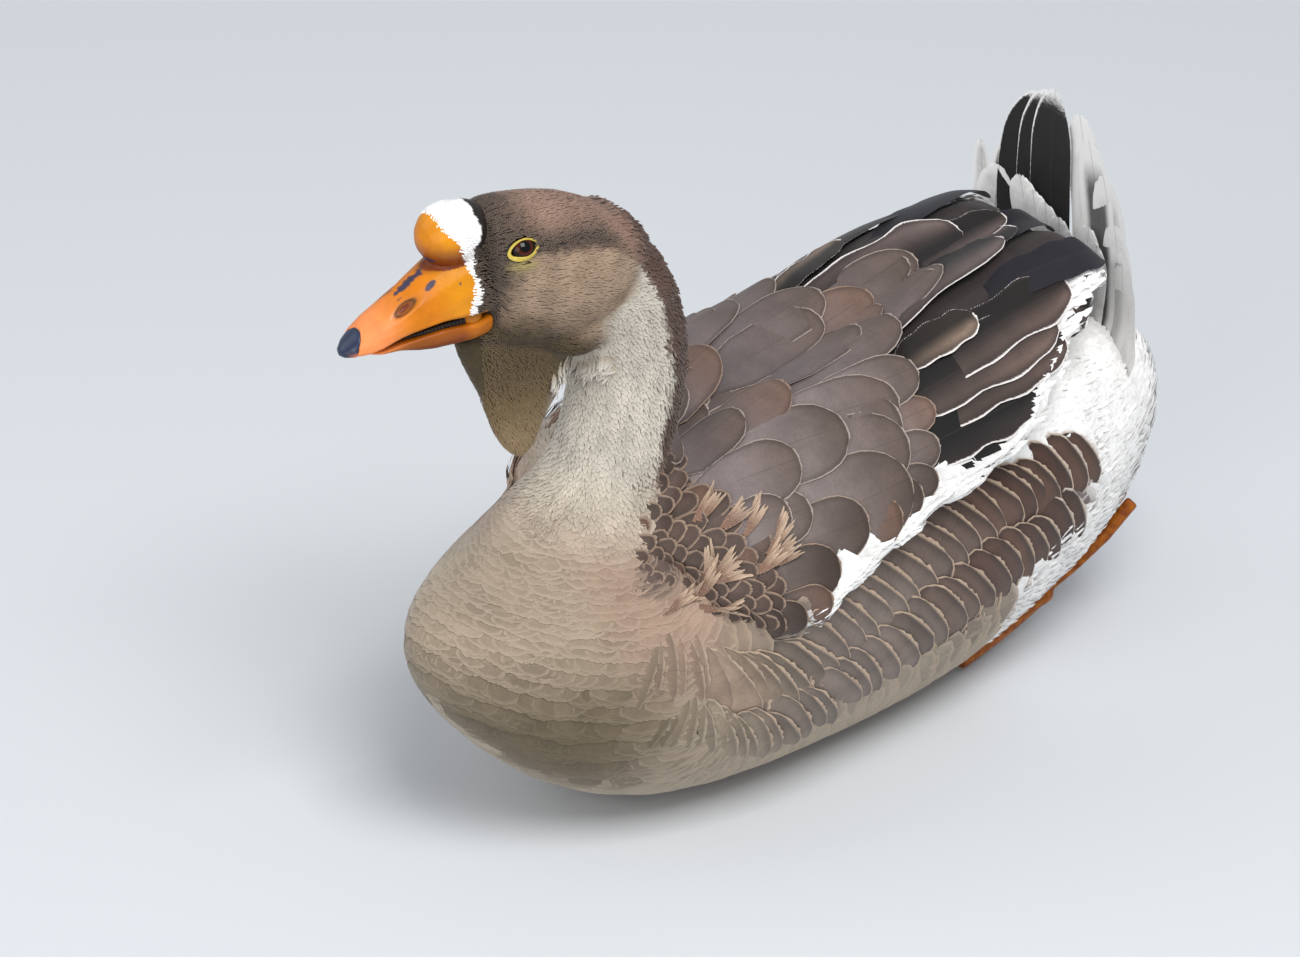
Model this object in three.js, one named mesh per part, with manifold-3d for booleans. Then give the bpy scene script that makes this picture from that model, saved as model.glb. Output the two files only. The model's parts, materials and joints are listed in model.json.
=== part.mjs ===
// A domestic goose with a knobbed bill and a dewlap, resting on its belly with its feet tucked under.
// Millimetres, +Z up. The goose faces -Y, its left side is +X, and the floor is Z = 0.
import * as THREE from 'three';
import { mergeVertices } from 'three/addons/utils/BufferGeometryUtils.js';
import Module from 'manifold-3d';

const wasm = await Module();
wasm.setup();

// ---- driving dimensions -------------------------------------------------------------------
const GAP = 0.3;                 // clearance between neighbouring pieces
const BREAST_Y = -236;           // foremost point of the breast
const STERN_Y = 246;             // rearmost point of the stern
const HALF_BEAM = 98;            // half the trunk's greatest width
const BACK_Z = 196;              // top of the back between the wings
const BREAST_Z = 122;            // height of the breast's foremost point
const HEAD_CENTRE = new THREE.Vector3(0, -146, 318);
const HEAD_YAW = THREE.MathUtils.degToRad(-8);     // turned a little to the goose's right
const HEAD_PITCH = THREE.MathUtils.degToRad(6);    // bill slightly down
const EYE_RADIUS = 7.5;
const EYE_CENTRE = [18, -29.3, 21.2];   // the left eye's, in the head's frame
const NECK_RADIUS = 28.7;
const WING_TIP_Y = 196;
const TAIL_ROOT = new THREE.Vector3(0, 200, 150);
const TAIL_LENGTH = 150;
const TAIL_FEATHERS = 9;         // feather tips that show along the half-closed fan
const BELLY_FLATTENING = 4;      // depth that the belly's flat takes off the round belly

// ---- colours and finishes -----------------------------------------------------------------
const finish = (colour, roughness) =>
  new THREE.MeshStandardMaterial({ color: colour, roughness, metalness: 0 });
const FINISH = {
  breast: finish('#b8a898', 0.9),
  neck: finish('#d6cdbf', 0.9),
  head: finish('#8d7f74', 0.9),
  dewlap: finish('#9a8b7c', 0.9),
  wing: finish('#6e625c', 0.85),
  tail: finish('#4b4341', 0.85),
  bill: finish('#e28a2a', 0.45),
  nail: finish('#2a3038', 0.4),
  eye: finish('#4a2216', 0.1),
  leg: finish('#e07f2c', 0.55),
};

// ---- solids from closed meshes ------------------------------------------------------------
function solidOf(geometry) {
  const bare = geometry.clone();
  bare.deleteAttribute('normal');
  bare.deleteAttribute('uv');
  const merged = mergeVertices(bare, 1e-4);
  const vertProperties = new Float32Array(merged.attributes.position.array);
  const triVerts = new Uint32Array(merged.index.array);
  const build = () => new wasm.Manifold(new wasm.Mesh({ numProp: 3, vertProperties, triVerts }));
  const solid = build();
  if (solid.volume() > 0) return solid;
  triVerts.reverse();
  return build();
}

function geometryOf(solid) {
  const mesh = solid.getMesh();
  const geometry = new THREE.BufferGeometry();
  geometry.setAttribute('position', new THREE.BufferAttribute(mesh.vertProperties, 3));
  geometry.setIndex(new THREE.BufferAttribute(mesh.triVerts, 1));
  geometry.computeVertexNormals();
  return geometry;
}

// ---- lofts: rounded sections carried along a curve ----------------------------------------
// A station is [x, y, z, half width, height over the curve, depth under it]. "Over" is a fixed
// direction, made square to the curve at each section, whichever way the curve runs.
const UP = new THREE.Vector3(0, 0, 1);
const REARWARD = new THREE.Vector3(0, 1, 0);
const FORWARD = new THREE.Vector3(0, -1, 0);
const signedPower = (value, power) => Math.sign(value) * Math.abs(value) ** power;

function dome(t, blunt) {
  return t >= blunt ? 1 : Math.sqrt(Math.max(0, 1 - (1 - t / blunt) ** 2));
}

function loft({
  stations, rings, around, over = UP, square = 2, blunt = [0.2, 0.2], grow = 0, groove = null,
}) {
  const path = new THREE.CatmullRomCurve3(stations.map((s) => new THREE.Vector3(s[0], s[1], s[2])));
  const sizes = new THREE.CatmullRomCurve3(stations.map((s) => new THREE.Vector3(s[3], s[4], s[5])));
  const side = new THREE.Vector3(1, 0, 0);
  const positions = [];
  const addPoint = (p) => positions.push(p.x, p.y, p.z);
  const end = (t, way) => path.getPoint(t).addScaledVector(path.getTangent(t), way * grow);
  addPoint(end(0, -1));
  for (let ring = 1; ring < rings; ring += 1) {
    const t = 0.5 - 0.5 * Math.cos((Math.PI * ring) / rings);
    const centre = path.getPoint(t);
    const size = sizes.getPoint(t).multiplyScalar(dome(t, blunt[0]) * dome(1 - t, blunt[1]));
    const up = over.clone().projectOnPlane(path.getTangent(t)).normalize();
    for (let step = 0; step < around; step += 1) {
      const angle = (2 * Math.PI * step) / around;
      const across = signedPower(Math.cos(angle), 2 / square) * (size.x + grow);
      const half = (Math.sin(angle) > 0 ? size.y : size.z) + grow;
      let rise = signedPower(Math.sin(angle), 2 / square) * half;
      if (groove && rise > 0) rise -= groove.depth * Math.exp(-((across / groove.width) ** 2));
      addPoint(centre.clone().addScaledVector(side, across).addScaledVector(up, rise));
    }
  }
  addPoint(end(1, 1));
  const index = [];
  const last = positions.length / 3 - 1;
  const at = (ring, step) => 1 + (ring - 1) * around + (step % around);
  for (let step = 0; step < around; step += 1) {
    index.push(0, at(1, step + 1), at(1, step));
    index.push(last, at(rings - 1, step), at(rings - 1, step + 1));
    for (let ring = 1; ring < rings - 1; ring += 1) {
      index.push(at(ring, step), at(ring, step + 1), at(ring + 1, step));
      index.push(at(ring, step + 1), at(ring + 1, step + 1), at(ring + 1, step));
    }
  }
  const geometry = new THREE.BufferGeometry();
  geometry.setAttribute('position', new THREE.Float32BufferAttribute(positions, 3));
  geometry.setIndex(index);
  return solidOf(geometry);
}

function ellipsoid(centre, radii, segments = 16) {
  const geometry = new THREE.SphereGeometry(1, segments, Math.round(segments * 0.6));
  geometry.scale(radii[0], radii[1], radii[2]);
  geometry.translate(...centre);
  return solidOf(geometry);
}

const mirrored = (sign, point) => [sign * point[0], point[1], point[2]];

function block(low, high) {
  const size = high.map((value, axis) => value - low[axis]);
  const geometry = new THREE.BoxGeometry(...size);
  geometry.translate(...high.map((value, axis) => (value + low[axis]) / 2));
  return solidOf(geometry);
}

// ---- trunk --------------------------------------------------------------------------------
const REACH = 400;               // larger than the goose, for blocks that only cut

function trunkLoft(grow) {
  const middle = 0.5 * BACK_Z + 1.5;
  const under = middle + BELLY_FLATTENING;
  return loft({
    stations: [
      [0, BREAST_Y, BREAST_Z, 0.66 * HALF_BEAM, 42, 62],
      [0, -140, 106, 0.89 * HALF_BEAM, 54, 96],
      [0, -43, middle, HALF_BEAM, BACK_Z - middle, under],
      [0, 53, middle, 0.94 * HALF_BEAM, BACK_Z - middle - 2, under],
      [0, 150, 116, 0.8 * HALF_BEAM, 80, 92],
      [0, STERN_Y, 135, 0.8 * HALF_BEAM, 61, 58],
    ],
    rings: 24,
    around: 32,
    square: 2.15,
    blunt: [0.28, 0.22],
    grow,
  });
}

function trunkSolid() {
  return trunkLoft(0).intersect(block([-REACH, -REACH, 0], [REACH, REACH, REACH]));
}

// ---- head group: local frame at the head's centre, bill along -Y ----------------------------
const HEAD_LENGTH = 98;

function skullLoft(grow) {
  return loft({
    stations: [
      [0, 0.47 * HEAD_LENGTH, -14, 23, 16, 30],
      [0, 0.24 * HEAD_LENGTH, -6, 29, 21.5, 38],
      [0, -0.01 * HEAD_LENGTH, -1, 31, 32.5, 43],
      [0, -0.26 * HEAD_LENGTH, 0, 28, 41, 40],
      [0, -0.51 * HEAD_LENGTH, 0, 21, 46, 30],
    ],
    rings: 15,
    around: 22,
    square: 2.2,
    blunt: [0.3, 0.12],
    grow,
  });
}

function eyeBall(sign, grow) {
  const radius = EYE_RADIUS + grow;
  return ellipsoid(mirrored(sign, EYE_CENTRE), [radius, radius, radius], 12);
}

function knobLoft(grow) {
  return ellipsoid([0, -58, 33], [16 + grow, 16.6 + grow, 15.7 + grow], 16);
}

const BILL_TIP_Y = -124.5;
const GAPE_Z = -4;

function upperBillLoft() {
  return loft({
    stations: [
      [0, -44, GAPE_Z, 19, 33, 4],
      [0, -58, GAPE_Z, 18.5, 31, 3],
      [0, -80, GAPE_Z - 1, 16, 21.5, 3],
      [0, -102, GAPE_Z - 2, 14, 12, 3],
      [0, BILL_TIP_Y, GAPE_Z - 5, 12, 8, 4],
    ],
    rings: 13,
    around: 18,
    square: 2.1,
    blunt: [0.1, 0.3],
  });
}

function lowerBillLoft(grow) {
  return loft({
    stations: [
      [0, -40, GAPE_Z - 9, 15, 4, 14],
      [0, -75, GAPE_Z - 8.5, 13.5, 4, 9.5],
      [0, -96, GAPE_Z - 7.5, 11, 3, 4.5],
      [0, BILL_TIP_Y + 12, GAPE_Z - 7, 8.5, 2.5, 2.5],
    ],
    rings: 12,
    around: 16,
    blunt: [0.1, 0.25],
    grow,
  });
}

function dewlapLoft() {
  return loft({
    stations: [
      [0, -18, -14, 17, 48, 30],
      [0, -22, -40, 13, 41, 30],
      [0, -27, -66, 9, 28, 23],
      [0, -31.5, -84, 7, 17, 14],
      [0, -33.5, -106, 6, 9, 9],
    ],
    rings: 13,
    around: 16,
    over: FORWARD,
    blunt: [0.1, 0.25],
  });
}

// ---- neck -----------------------------------------------------------------------------------
function neckLoft(grow) {
  return loft({
    stations: [
      [0, -148, 92, 74, 88, 76],
      [0, -138, 140, 56, 62, 46],
      [0, -118, 180, 35, 39, 26],
      [0, -107, 214, NECK_RADIUS, NECK_RADIUS, NECK_RADIUS],
      [0, -102, 250, NECK_RADIUS, NECK_RADIUS, NECK_RADIUS],
      [0, -113, 286, NECK_RADIUS, NECK_RADIUS, NECK_RADIUS],
      [0, -140, 312, NECK_RADIUS - 3, NECK_RADIUS - 3, NECK_RADIUS - 3],
    ],
    rings: 19,
    around: 22,
    over: REARWARD,
    blunt: [0.1, 0.12],
    grow,
  });
}

// ---- wings ----------------------------------------------------------------------------------
function wingEnvelope(grow) {
  return loft({
    stations: [
      [0, -150, 120, 0.7 * HALF_BEAM, 45, 60],
      [0, -80, 122, 1.06 * HALF_BEAM, 73, 78],
      [0, -11, 130, 1.11 * HALF_BEAM, 84, 84],
      [0, 58, 142, 1.06 * HALF_BEAM, 80, 84],
      [0, 127, 168, 0.92 * HALF_BEAM, 74, 66],
      [0, WING_TIP_Y, 206, 0.6 * HALF_BEAM, 42, 26],
    ],
    rings: 22,
    around: 32,
    square: 2.2,
    blunt: [0.12, 0.035],
    groove: { depth: 13, width: 20 },
    grow,
  });
}

// The folded wing's lower rim seen from the side, from the shoulder back to the wing tip.
const WING_RIM = [
  [-124, 174], [-110, 148], [-74, 121], [-36, 142], [12, 158], [76, 168], [107, 184], [146, 209],
  [190, 220],
];
const RIM_FEATHERS = 12;
const FEATHER_DROP = 7;          // how far a feather tip hangs past the rim

function wingRegion(sign) {
  const rim = new THREE.SplineCurve(WING_RIM.map((p) => new THREE.Vector2(...p)));
  const shape = new THREE.Shape();
  shape.moveTo(WING_RIM[0][0], REACH);
  for (let feather = 0; feather < RIM_FEATHERS; feather += 1) {
    const start = rim.getPoint(feather / RIM_FEATHERS);
    const tip = rim.getPoint((feather + 0.7) / RIM_FEATHERS);
    const along = rim.getTangent((feather + 0.7) / RIM_FEATHERS);
    const end = rim.getPoint((feather + 1) / RIM_FEATHERS);
    shape.lineTo(start.x, start.y);
    shape.lineTo(0.5 * (start.x + tip.x) + 0.8 * FEATHER_DROP * along.y,
      0.5 * (start.y + tip.y) - 0.8 * FEATHER_DROP * along.x);
    shape.lineTo(tip.x + FEATHER_DROP * along.y, tip.y - FEATHER_DROP * along.x);
    shape.lineTo(end.x, end.y - 0.4 * FEATHER_DROP);
  }
  shape.lineTo(WING_TIP_Y + 20, WING_RIM.at(-1)[1] + 4);
  shape.lineTo(WING_TIP_Y + 20, REACH);
  const slab = new THREE.ExtrudeGeometry(shape, { depth: REACH, bevelEnabled: false });
  slab.applyMatrix4(new THREE.Matrix4().makeBasis(
    new THREE.Vector3(0, 1, 0), new THREE.Vector3(0, 0, 1), new THREE.Vector3(1, 0, 0)));
  slab.translate(GAP, 0, 0);
  slab.scale(sign, 1, 1);
  return solidOf(slab);
}

function wingSolid(sign, trunkGrown, neckGrown) {
  return wingEnvelope(0).intersect(wingRegion(sign)).subtract(trunkGrown).subtract(neckGrown);
}

// ---- tail -----------------------------------------------------------------------------------
const TAIL_HALF_ROOT = 24;
const TAIL_HALF_TIP = 57;
const TAIL_THICK = 7;
const TAIL_ROUNDING = 0.35;      // how much shorter the outermost feathers are
const TAIL_LEAN = 0.04;          // forward lean of the cocked fan, per millimetre of height
const TAIL_CUP = 8;              // how far the fan's edges curl forward of its middle

function tailGeometry() {
  const shape = new THREE.Shape();
  const feather = 2 / TAIL_FEATHERS;
  const tipAt = (across) => TAIL_LENGTH * (1 - TAIL_ROUNDING * across * across);
  const place = (across, length) => {
    const half = TAIL_HALF_ROOT + (TAIL_HALF_TIP - TAIL_HALF_ROOT) * (length / TAIL_LENGTH);
    shape.lineTo(across * half, length);
  };
  shape.moveTo(-TAIL_HALF_ROOT, 0);
  for (let k = 0; k < TAIL_FEATHERS; k += 1) {
    const left = -1 + k * feather;
    for (const [share, back] of [[0, 12], [0.2, 4], [0.5, 0], [0.8, 4]]) {
      place(left + share * feather, tipAt(left + share * feather) - back);
    }
  }
  place(1, tipAt(1) - 12);
  shape.lineTo(TAIL_HALF_ROOT, 0);
  return new THREE.ExtrudeGeometry(shape, { depth: TAIL_THICK, bevelEnabled: false });
}

function tailSolid(cuts) {
  const geometry = tailGeometry();
  const points = geometry.attributes.position;
  for (let i = 0; i < points.count; i += 1) {
    const x = points.getX(i);
    const along = points.getY(i);
    const thick = points.getZ(i) * (1 - 0.6 * (along / TAIL_LENGTH));
    const forward = TAIL_CUP * (x / TAIL_HALF_TIP) ** 2;
    points.setXYZ(i, x, thick - forward - TAIL_LEAN * along, along);
  }
  geometry.translate(TAIL_ROOT.x, TAIL_ROOT.y, TAIL_ROOT.z);
  return cuts.reduce((left, cut) => left.subtract(cut), solidOf(geometry));
}

// ---- legs and feet --------------------------------------------------------------------------
function tube(points, radius, sides, steps) {
  const section = new THREE.Shape();
  section.absarc(0, 0, radius, 0, 2 * Math.PI, false);
  const path = new THREE.CatmullRomCurve3(points.map((p) => new THREE.Vector3(...p)));
  const geometry = new THREE.ExtrudeGeometry(section, {
    extrudePath: path, steps, bevelEnabled: false, curveSegments: sides / 2,
  });
  return solidOf(geometry);
}

const LEG_X = 40;
const TARSUS_RADIUS = 6.5;
const ANKLE_RADII = [8, 9, 6];
const TOE_RADIUS = 3.8;
const HOCK = [LEG_X, 92, 9];
const SHANK = [LEG_X, 122, 17];
const ANKLE = [LEG_X, 150, 27];
const TOE_KNUCKLE = [LEG_X, 182, 43];
const TOE_TIP = [LEG_X, 210, 69];
const TOE_SPREAD = 16;
const SOLE_ROLL = 0.62;          // the sole rises outwards with the side of the stern

// The trailing foot follows the underside of the stern, along the body and across it.
function soleHeight(x, y) {
  const sole = [ANKLE, TOE_KNUCKLE, TOE_TIP];
  const k = y < TOE_KNUCKLE[1] ? 0 : 1;
  const share = (y - sole[k][1]) / (sole[k + 1][1] - sole[k][1]);
  return sole[k][2] + share * (sole[k + 1][2] - sole[k][2]) + SOLE_ROLL * (x - LEG_X);
}

function webSolid(sign) {
  const shape = new THREE.Shape();
  const tips = [-1, 0, 1].map((k) => [LEG_X + k * TOE_SPREAD, TOE_TIP[1] - 8 * Math.abs(k) - 2]);
  shape.moveTo(LEG_X - 3, ANKLE[1]);
  shape.lineTo(LEG_X - 0.55 * TOE_SPREAD, TOE_KNUCKLE[1]);
  shape.lineTo(...tips[0]);
  for (const k of [1, 2]) {
    shape.lineTo(0.5 * (tips[k][0] + tips[k - 1][0]), 0.5 * (tips[k][1] + tips[k - 1][1]) - 5);
    shape.lineTo(...tips[k]);
  }
  shape.lineTo(LEG_X + 0.55 * TOE_SPREAD, TOE_KNUCKLE[1]);
  shape.lineTo(LEG_X + 3, ANKLE[1]);
  const web = new THREE.ExtrudeGeometry(shape, { depth: 2, bevelEnabled: false });
  const points = web.attributes.position;
  for (let i = 0; i < points.count; i += 1) {
    points.setZ(i, points.getZ(i) - 1 + soleHeight(points.getX(i), points.getY(i)));
  }
  web.scale(sign, 1, 1);
  return solidOf(web);
}

function ankleSolid(sign, grow) {
  return ellipsoid(mirrored(sign, ANKLE), ANKLE_RADII.map((radius) => radius + grow), 10);
}

function tarsusSolid(sign, trunkGrown) {
  const route = [HOCK, SHANK, ANKLE].map((point) => mirrored(sign, point));
  return tube(route, TARSUS_RADIUS, 10, 5).subtract(ankleSolid(sign, GAP)).subtract(trunkGrown);
}

function footSolid(sign, trunkGrown) {
  let foot = webSolid(sign).add(ankleSolid(sign, 0));
  for (const k of [-1, 0, 1]) {
    const knuckleX = LEG_X + 0.55 * k * TOE_SPREAD;
    const tipX = LEG_X + k * TOE_SPREAD;
    const tipY = TOE_TIP[1] - 8 * Math.abs(k);
    const knuckle = [knuckleX, TOE_KNUCKLE[1], soleHeight(knuckleX, TOE_KNUCKLE[1])];
    const tip = [tipX, tipY, soleHeight(tipX, tipY)];
    foot = foot.add(tube([ANKLE, knuckle, tip].map((point) => mirrored(sign, point)), TOE_RADIUS, 6, 3));
  }
  return foot.subtract(trunkGrown);
}

// ---- assembly -------------------------------------------------------------------------------
const goose = new THREE.Group();
goose.name = 'goose';
const headGroup = new THREE.Group();
headGroup.position.copy(HEAD_CENTRE);
headGroup.rotation.set(HEAD_PITCH, 0, HEAD_YAW, 'ZXY');
headGroup.updateMatrix();
goose.add(headGroup);

function addNode(parent, name, solid, material) {
  const mesh = new THREE.Mesh(geometryOf(solid), material);
  mesh.name = name;
  parent.add(mesh);
}

const inWorld = (solid) => solid.transform(headGroup.matrix.elements);
const inHead = (solid) => solid.transform(headGroup.matrix.clone().invert().elements);

const trunkGrown = trunkLoft(GAP);
const skull = skullLoft(0);
const skullGrown = skullLoft(GAP);
const neckGrown = neckLoft(GAP);
const knobGrown = knobLoft(GAP);

addNode(goose, 'trunk', trunkSolid(), FINISH.breast);
const neck = neckLoft(0).subtract(trunkGrown).subtract(inWorld(skullGrown));
addNode(goose, 'neck', neck, FINISH.neck);

const head = skull.subtract(eyeBall(1, GAP)).subtract(eyeBall(-1, GAP));
addNode(headGroup, 'head', head, FINISH.head);
addNode(headGroup, 'eye_left', eyeBall(1, 0), FINISH.eye);
addNode(headGroup, 'eye_right', eyeBall(-1, 0), FINISH.eye);

const upperBill = upperBillLoft().subtract(skullGrown);
const nailRegion = ellipsoid([0, BILL_TIP_Y - 3, GAPE_Z + 2], [11, 15, 15], 16);
const nailGrown = ellipsoid([0, BILL_TIP_Y - 3, GAPE_Z + 2], [11 + GAP, 15 + GAP, 15 + GAP], 16);
addNode(headGroup, 'knob', knobLoft(0).subtract(skullGrown), FINISH.bill);
addNode(headGroup, 'bill_upper', upperBill.subtract(knobGrown).subtract(nailGrown), FINISH.bill);
addNode(headGroup, 'bill_nail', upperBill.intersect(nailRegion), FINISH.nail);
const upperClear = block([-30, -140, GAPE_Z - 7.2], [30, -40, 60]);
addNode(headGroup, 'bill_lower', lowerBillLoft(0).subtract(skullGrown).subtract(upperClear), FINISH.bill);
const dewlap = dewlapLoft().subtract(skullGrown).subtract(inHead(neckGrown)).subtract(lowerBillLoft(GAP));
addNode(headGroup, 'dewlap', dewlap, FINISH.dewlap);

const wingLeft = wingSolid(1, trunkGrown, neckGrown);
const wingRight = wingSolid(-1, trunkGrown, neckGrown);
addNode(goose, 'wing_left', wingLeft, FINISH.wing);
addNode(goose, 'wing_right', wingRight, FINISH.wing);
addNode(goose, 'tail', tailSolid([trunkGrown, wingEnvelope(GAP)]), FINISH.tail);

for (const [sign, side] of [[1, 'left'], [-1, 'right']]) {
  addNode(goose, `leg_${side}`, tarsusSolid(sign, trunkGrown), FINISH.leg);
  addNode(goose, `foot_${side}`, footSolid(sign, trunkGrown), FINISH.leg);
}

export default goose;
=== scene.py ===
# A knobbed domestic goose resting on its belly: skin, plumage, bill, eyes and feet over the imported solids.
import json
import math

import bmesh
import bpy
import numpy as np
from mathutils import Matrix, Vector
from mathutils.bvhtree import BVHTree
from mathutils.kdtree import KDTree

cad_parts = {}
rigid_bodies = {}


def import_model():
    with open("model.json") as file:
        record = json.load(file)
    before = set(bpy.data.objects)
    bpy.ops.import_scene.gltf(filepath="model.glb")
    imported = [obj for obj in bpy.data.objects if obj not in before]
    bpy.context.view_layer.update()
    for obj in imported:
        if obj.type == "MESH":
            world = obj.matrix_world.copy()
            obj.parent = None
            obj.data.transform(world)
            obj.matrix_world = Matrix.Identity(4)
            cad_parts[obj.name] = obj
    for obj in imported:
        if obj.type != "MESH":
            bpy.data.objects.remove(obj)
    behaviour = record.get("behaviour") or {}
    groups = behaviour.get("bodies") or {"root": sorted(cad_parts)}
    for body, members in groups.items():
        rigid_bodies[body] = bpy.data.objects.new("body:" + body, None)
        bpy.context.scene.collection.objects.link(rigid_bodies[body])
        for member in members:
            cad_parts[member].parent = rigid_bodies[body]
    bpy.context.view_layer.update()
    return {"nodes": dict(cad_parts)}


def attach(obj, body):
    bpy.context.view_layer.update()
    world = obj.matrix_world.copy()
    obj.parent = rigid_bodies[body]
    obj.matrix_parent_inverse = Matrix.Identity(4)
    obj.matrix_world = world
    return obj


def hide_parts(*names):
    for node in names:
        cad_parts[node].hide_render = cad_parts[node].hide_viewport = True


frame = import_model()
CAD = frame["nodes"]
MM = 0.001                      # shapes are worked out in millimetres and stored in metres
OVER_FLOOR = 0.4                # no feather comes nearer to the floor than this
chance = np.random.default_rng(11)

# ---- where things are, in millimetres: the goose faces -Y, its left is +X, the floor is Z = 0 ----
HEAD_CENTRE = np.array([0.0, -146.0, 318.0])
HEAD_TURN = Matrix.Rotation(math.radians(-8), 3, "Z") @ Matrix.Rotation(math.radians(6), 3, "X")
HEAD_AXES = np.array(HEAD_TURN)
BODY_AXIS_Z = 100.0             # height of the line that angles round the body are measured from
BEYOND_BODY = 165.0             # a distance from that line that is outside the body
NECK_Z = [96, 140, 180, 214, 250, 286, 312]
NECK_Y = [-148, -138, -118, -107, -102, -113, -140]
NECK_FOOT = np.array([0.0, -120.0, 215.0])
EYE = np.array([18.0, -29.3, 21.2])      # the left eye's centre, in the head's frame
EYE_RADIUS = 7.5
SOCKET = np.array([0.857, -0.078, 0.508])       # outward direction of the skull at the left eye
OPENING = np.array([21.7, -29.8, 23.4])  # middle of the left eye's opening
# The folded wing's lower rim: a station along the body and the angle round it.
RIM_Y = [-130, -118, -110, -94, -82, -70, -61, -39, -28, -6, 15, 32, 53, 76, 92, 107, 122, 146, 160, 193]
RIM_ANGLE = [40, 58, 66, 74, 79, 76, 73, 67, 63.5, 60.5, 56, 55, 54, 52, 48, 41, 36, 27, 23, 15]
# Upper edge of the flank's brown feathers, and where they end towards the tail for each angle.
FLANK_TOP_Y = [-112, -82, -62, -49, -38, -20, 2, 24, 32, 54, 81, 120]
FLANK_TOP = [70, 80, 77, 74.5, 72, 68, 65, 62, 60, 59, 59, 62]
FLANK_END_ANGLE = [0, 50, 60, 66, 80, 85, 91, 96, 105, 120, 180]
FLANK_END_Y = [110, 112, 138, 148, 158, 154, 144, 126, 108, 96, 92]
FAR_MANTLE = 54                 # how much further back the mantle starts on the right side
# Where the neck's plumage ends and the brown mantle starts: a height and a station.
MANTLE_Z = [104, 117, 127, 141, 152, 171, 190, 206, 232, 244]
MANTLE_Y = [-118, -127, -130, -137, -134, -122, -105, -90, -74, -20]
# Where the head's short plumage ends, in the head's frame: a height and a station.
HEAD_END_Z = [-110, -75, -66, -60, -52, -38, -30, -26, -17, -5, 20]
HEAD_END_Y = [-20, -14, -8, 4, 12, 12, 16, 25, 32, 33, 30]
# Lower edge of the brown cap and of the stripe down the nape.
CAP_Y = [-52, -40, -30, -23, -14, -5, 3.6, 11.8, 19.9, 26.5, 36.6, 41, 45, 47, 51]
CAP_Z = [30, 26, 23, 18.6, 16, 14.7, 13.3, 10, 5.4, -1.6, -16, -25, -38, -48, -90]
STRIPE_Z = [180, 207, 225, 238, 252, 260, 275, 285]
STRIPE_ANGLE = [78, 78, 71, 70, 77, 74, 68, 66]
JAW_Y = [-57, -46, -26, -3, 10]
JAW_Z = [-26, -29.5, -37, -55, -66]
# Tips of the pale fringe on the fold between the dewlap and the neck.
FOLD = np.array([(13, -128, 251), (12, -129, 247), (8, -130, 245), (3, -131, 243), (-3, -131, 240),
                 (6, -147, 253), (6, -151, 250), (6, -155, 246)], float)
# Rows of feather tips from the foot of the neck outwards: a distance and the rows' spacing there.
ROW_FROM = [0, 95, 130, 160, 220, 460]
ROW_GAP = [3.9, 4.1, 6.0, 9.5, 12.0, 13.0]
MOST_MOVED = 8                  # how far a tip is moved into its row at most
# How far the skin lies inside the outer outline of the plumage.
BREAST_COAT, BODY_COAT, NECK_COAT, HEAD_COAT = 3.0, 5.0, 2.2, 0.45


def to_head(p):
    """Places in the head's frame, in which the bill points along -Y."""
    return (p - HEAD_CENTRE) @ HEAD_AXES


def from_head(q):
    return np.asarray(q, float) @ HEAD_AXES.T + HEAD_CENTRE


def smooth(x, low, high):
    """0 up to low, 1 from high on, and a soft step between them."""
    s = np.clip((x - low) / (high - low), 0, 1)
    return s * s * (3 - 2 * s)


def unit(v):
    return v / np.maximum(np.linalg.norm(v, axis=-1, keepdims=True), 1e-9)


def along_surface(way, out):
    """Directions with what points away from the surface taken off."""
    return unit(way - (way * out).sum(-1, keepdims=True) * out)


def mix(a, b, share):
    return a + (b - a) * np.asarray(share)[..., None]


def colour(code):
    """Linear red, green and blue of a colour written as it looks on a screen."""
    parts = np.array([int(code[i:i + 2], 16) / 255 for i in (1, 3, 5)])
    return np.where(parts > 0.04045, ((parts + 0.055) / 1.055) ** 2.4, parts / 12.92)


def neck_line(z):
    """Station of the neck's middle at a height."""
    return np.interp(z, NECK_Z, NECK_Y)


def wing_rim(y):
    """Angle round the body of the folded wing's lower rim at a station."""
    return np.interp(y, RIM_Y, RIM_ANGLE)


def flank_top(y):
    """Angle round the body of the flank's upper edge at a station."""
    return np.interp(y, FLANK_TOP_Y, FLANK_TOP)


def all_over(value, points):
    """One colour or direction for every point."""
    return np.broadcast_to(value, points.shape)


def peak(*offsets):
    """1 where every offset is 0, falling towards 0 where any of them passes 1."""
    return np.exp(-sum(offset ** 2 for offset in offsets))


def colours(*codes):
    return map(colour, codes)


def body_angle(p):
    """Angle round the body in degrees: 0 at the top of the back, 90 at the side, 180 under the belly."""
    return np.degrees(np.arctan2(np.abs(p[..., 0]), p[..., 2] - BODY_AXIS_Z))


def neck_angle(p):
    """Angle round the neck in degrees: 0 at the back of the neck, 180 at the throat."""
    return np.degrees(np.arctan2(np.abs(p[..., 0]), p[..., 1] - neck_line(p[..., 2])))


def ripple(p, pitch, seed=0.0):
    """A soft, repeatable unevenness between about -1 and 1 with patches about pitch across."""
    k = 2 * math.pi / pitch
    x, y, z = p[..., 0] * k, p[..., 1] * k, p[..., 2] * k
    waves = (x + 1.7 * np.sin(0.6 * z + seed) + seed, 0.9 * y + 1.3 * np.sin(0.7 * x) + 2 * seed,
             1.1 * z + 1.5 * np.sin(0.8 * y + seed))
    return sum(map(np.sin, waves)) / 3


# ---- meshes ----
def places(mesh):
    flat = np.empty(len(mesh.vertices) * 3, np.float32)
    mesh.vertices.foreach_get("co", flat)
    return flat.reshape(-1, 3).astype(float) / MM


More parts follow.
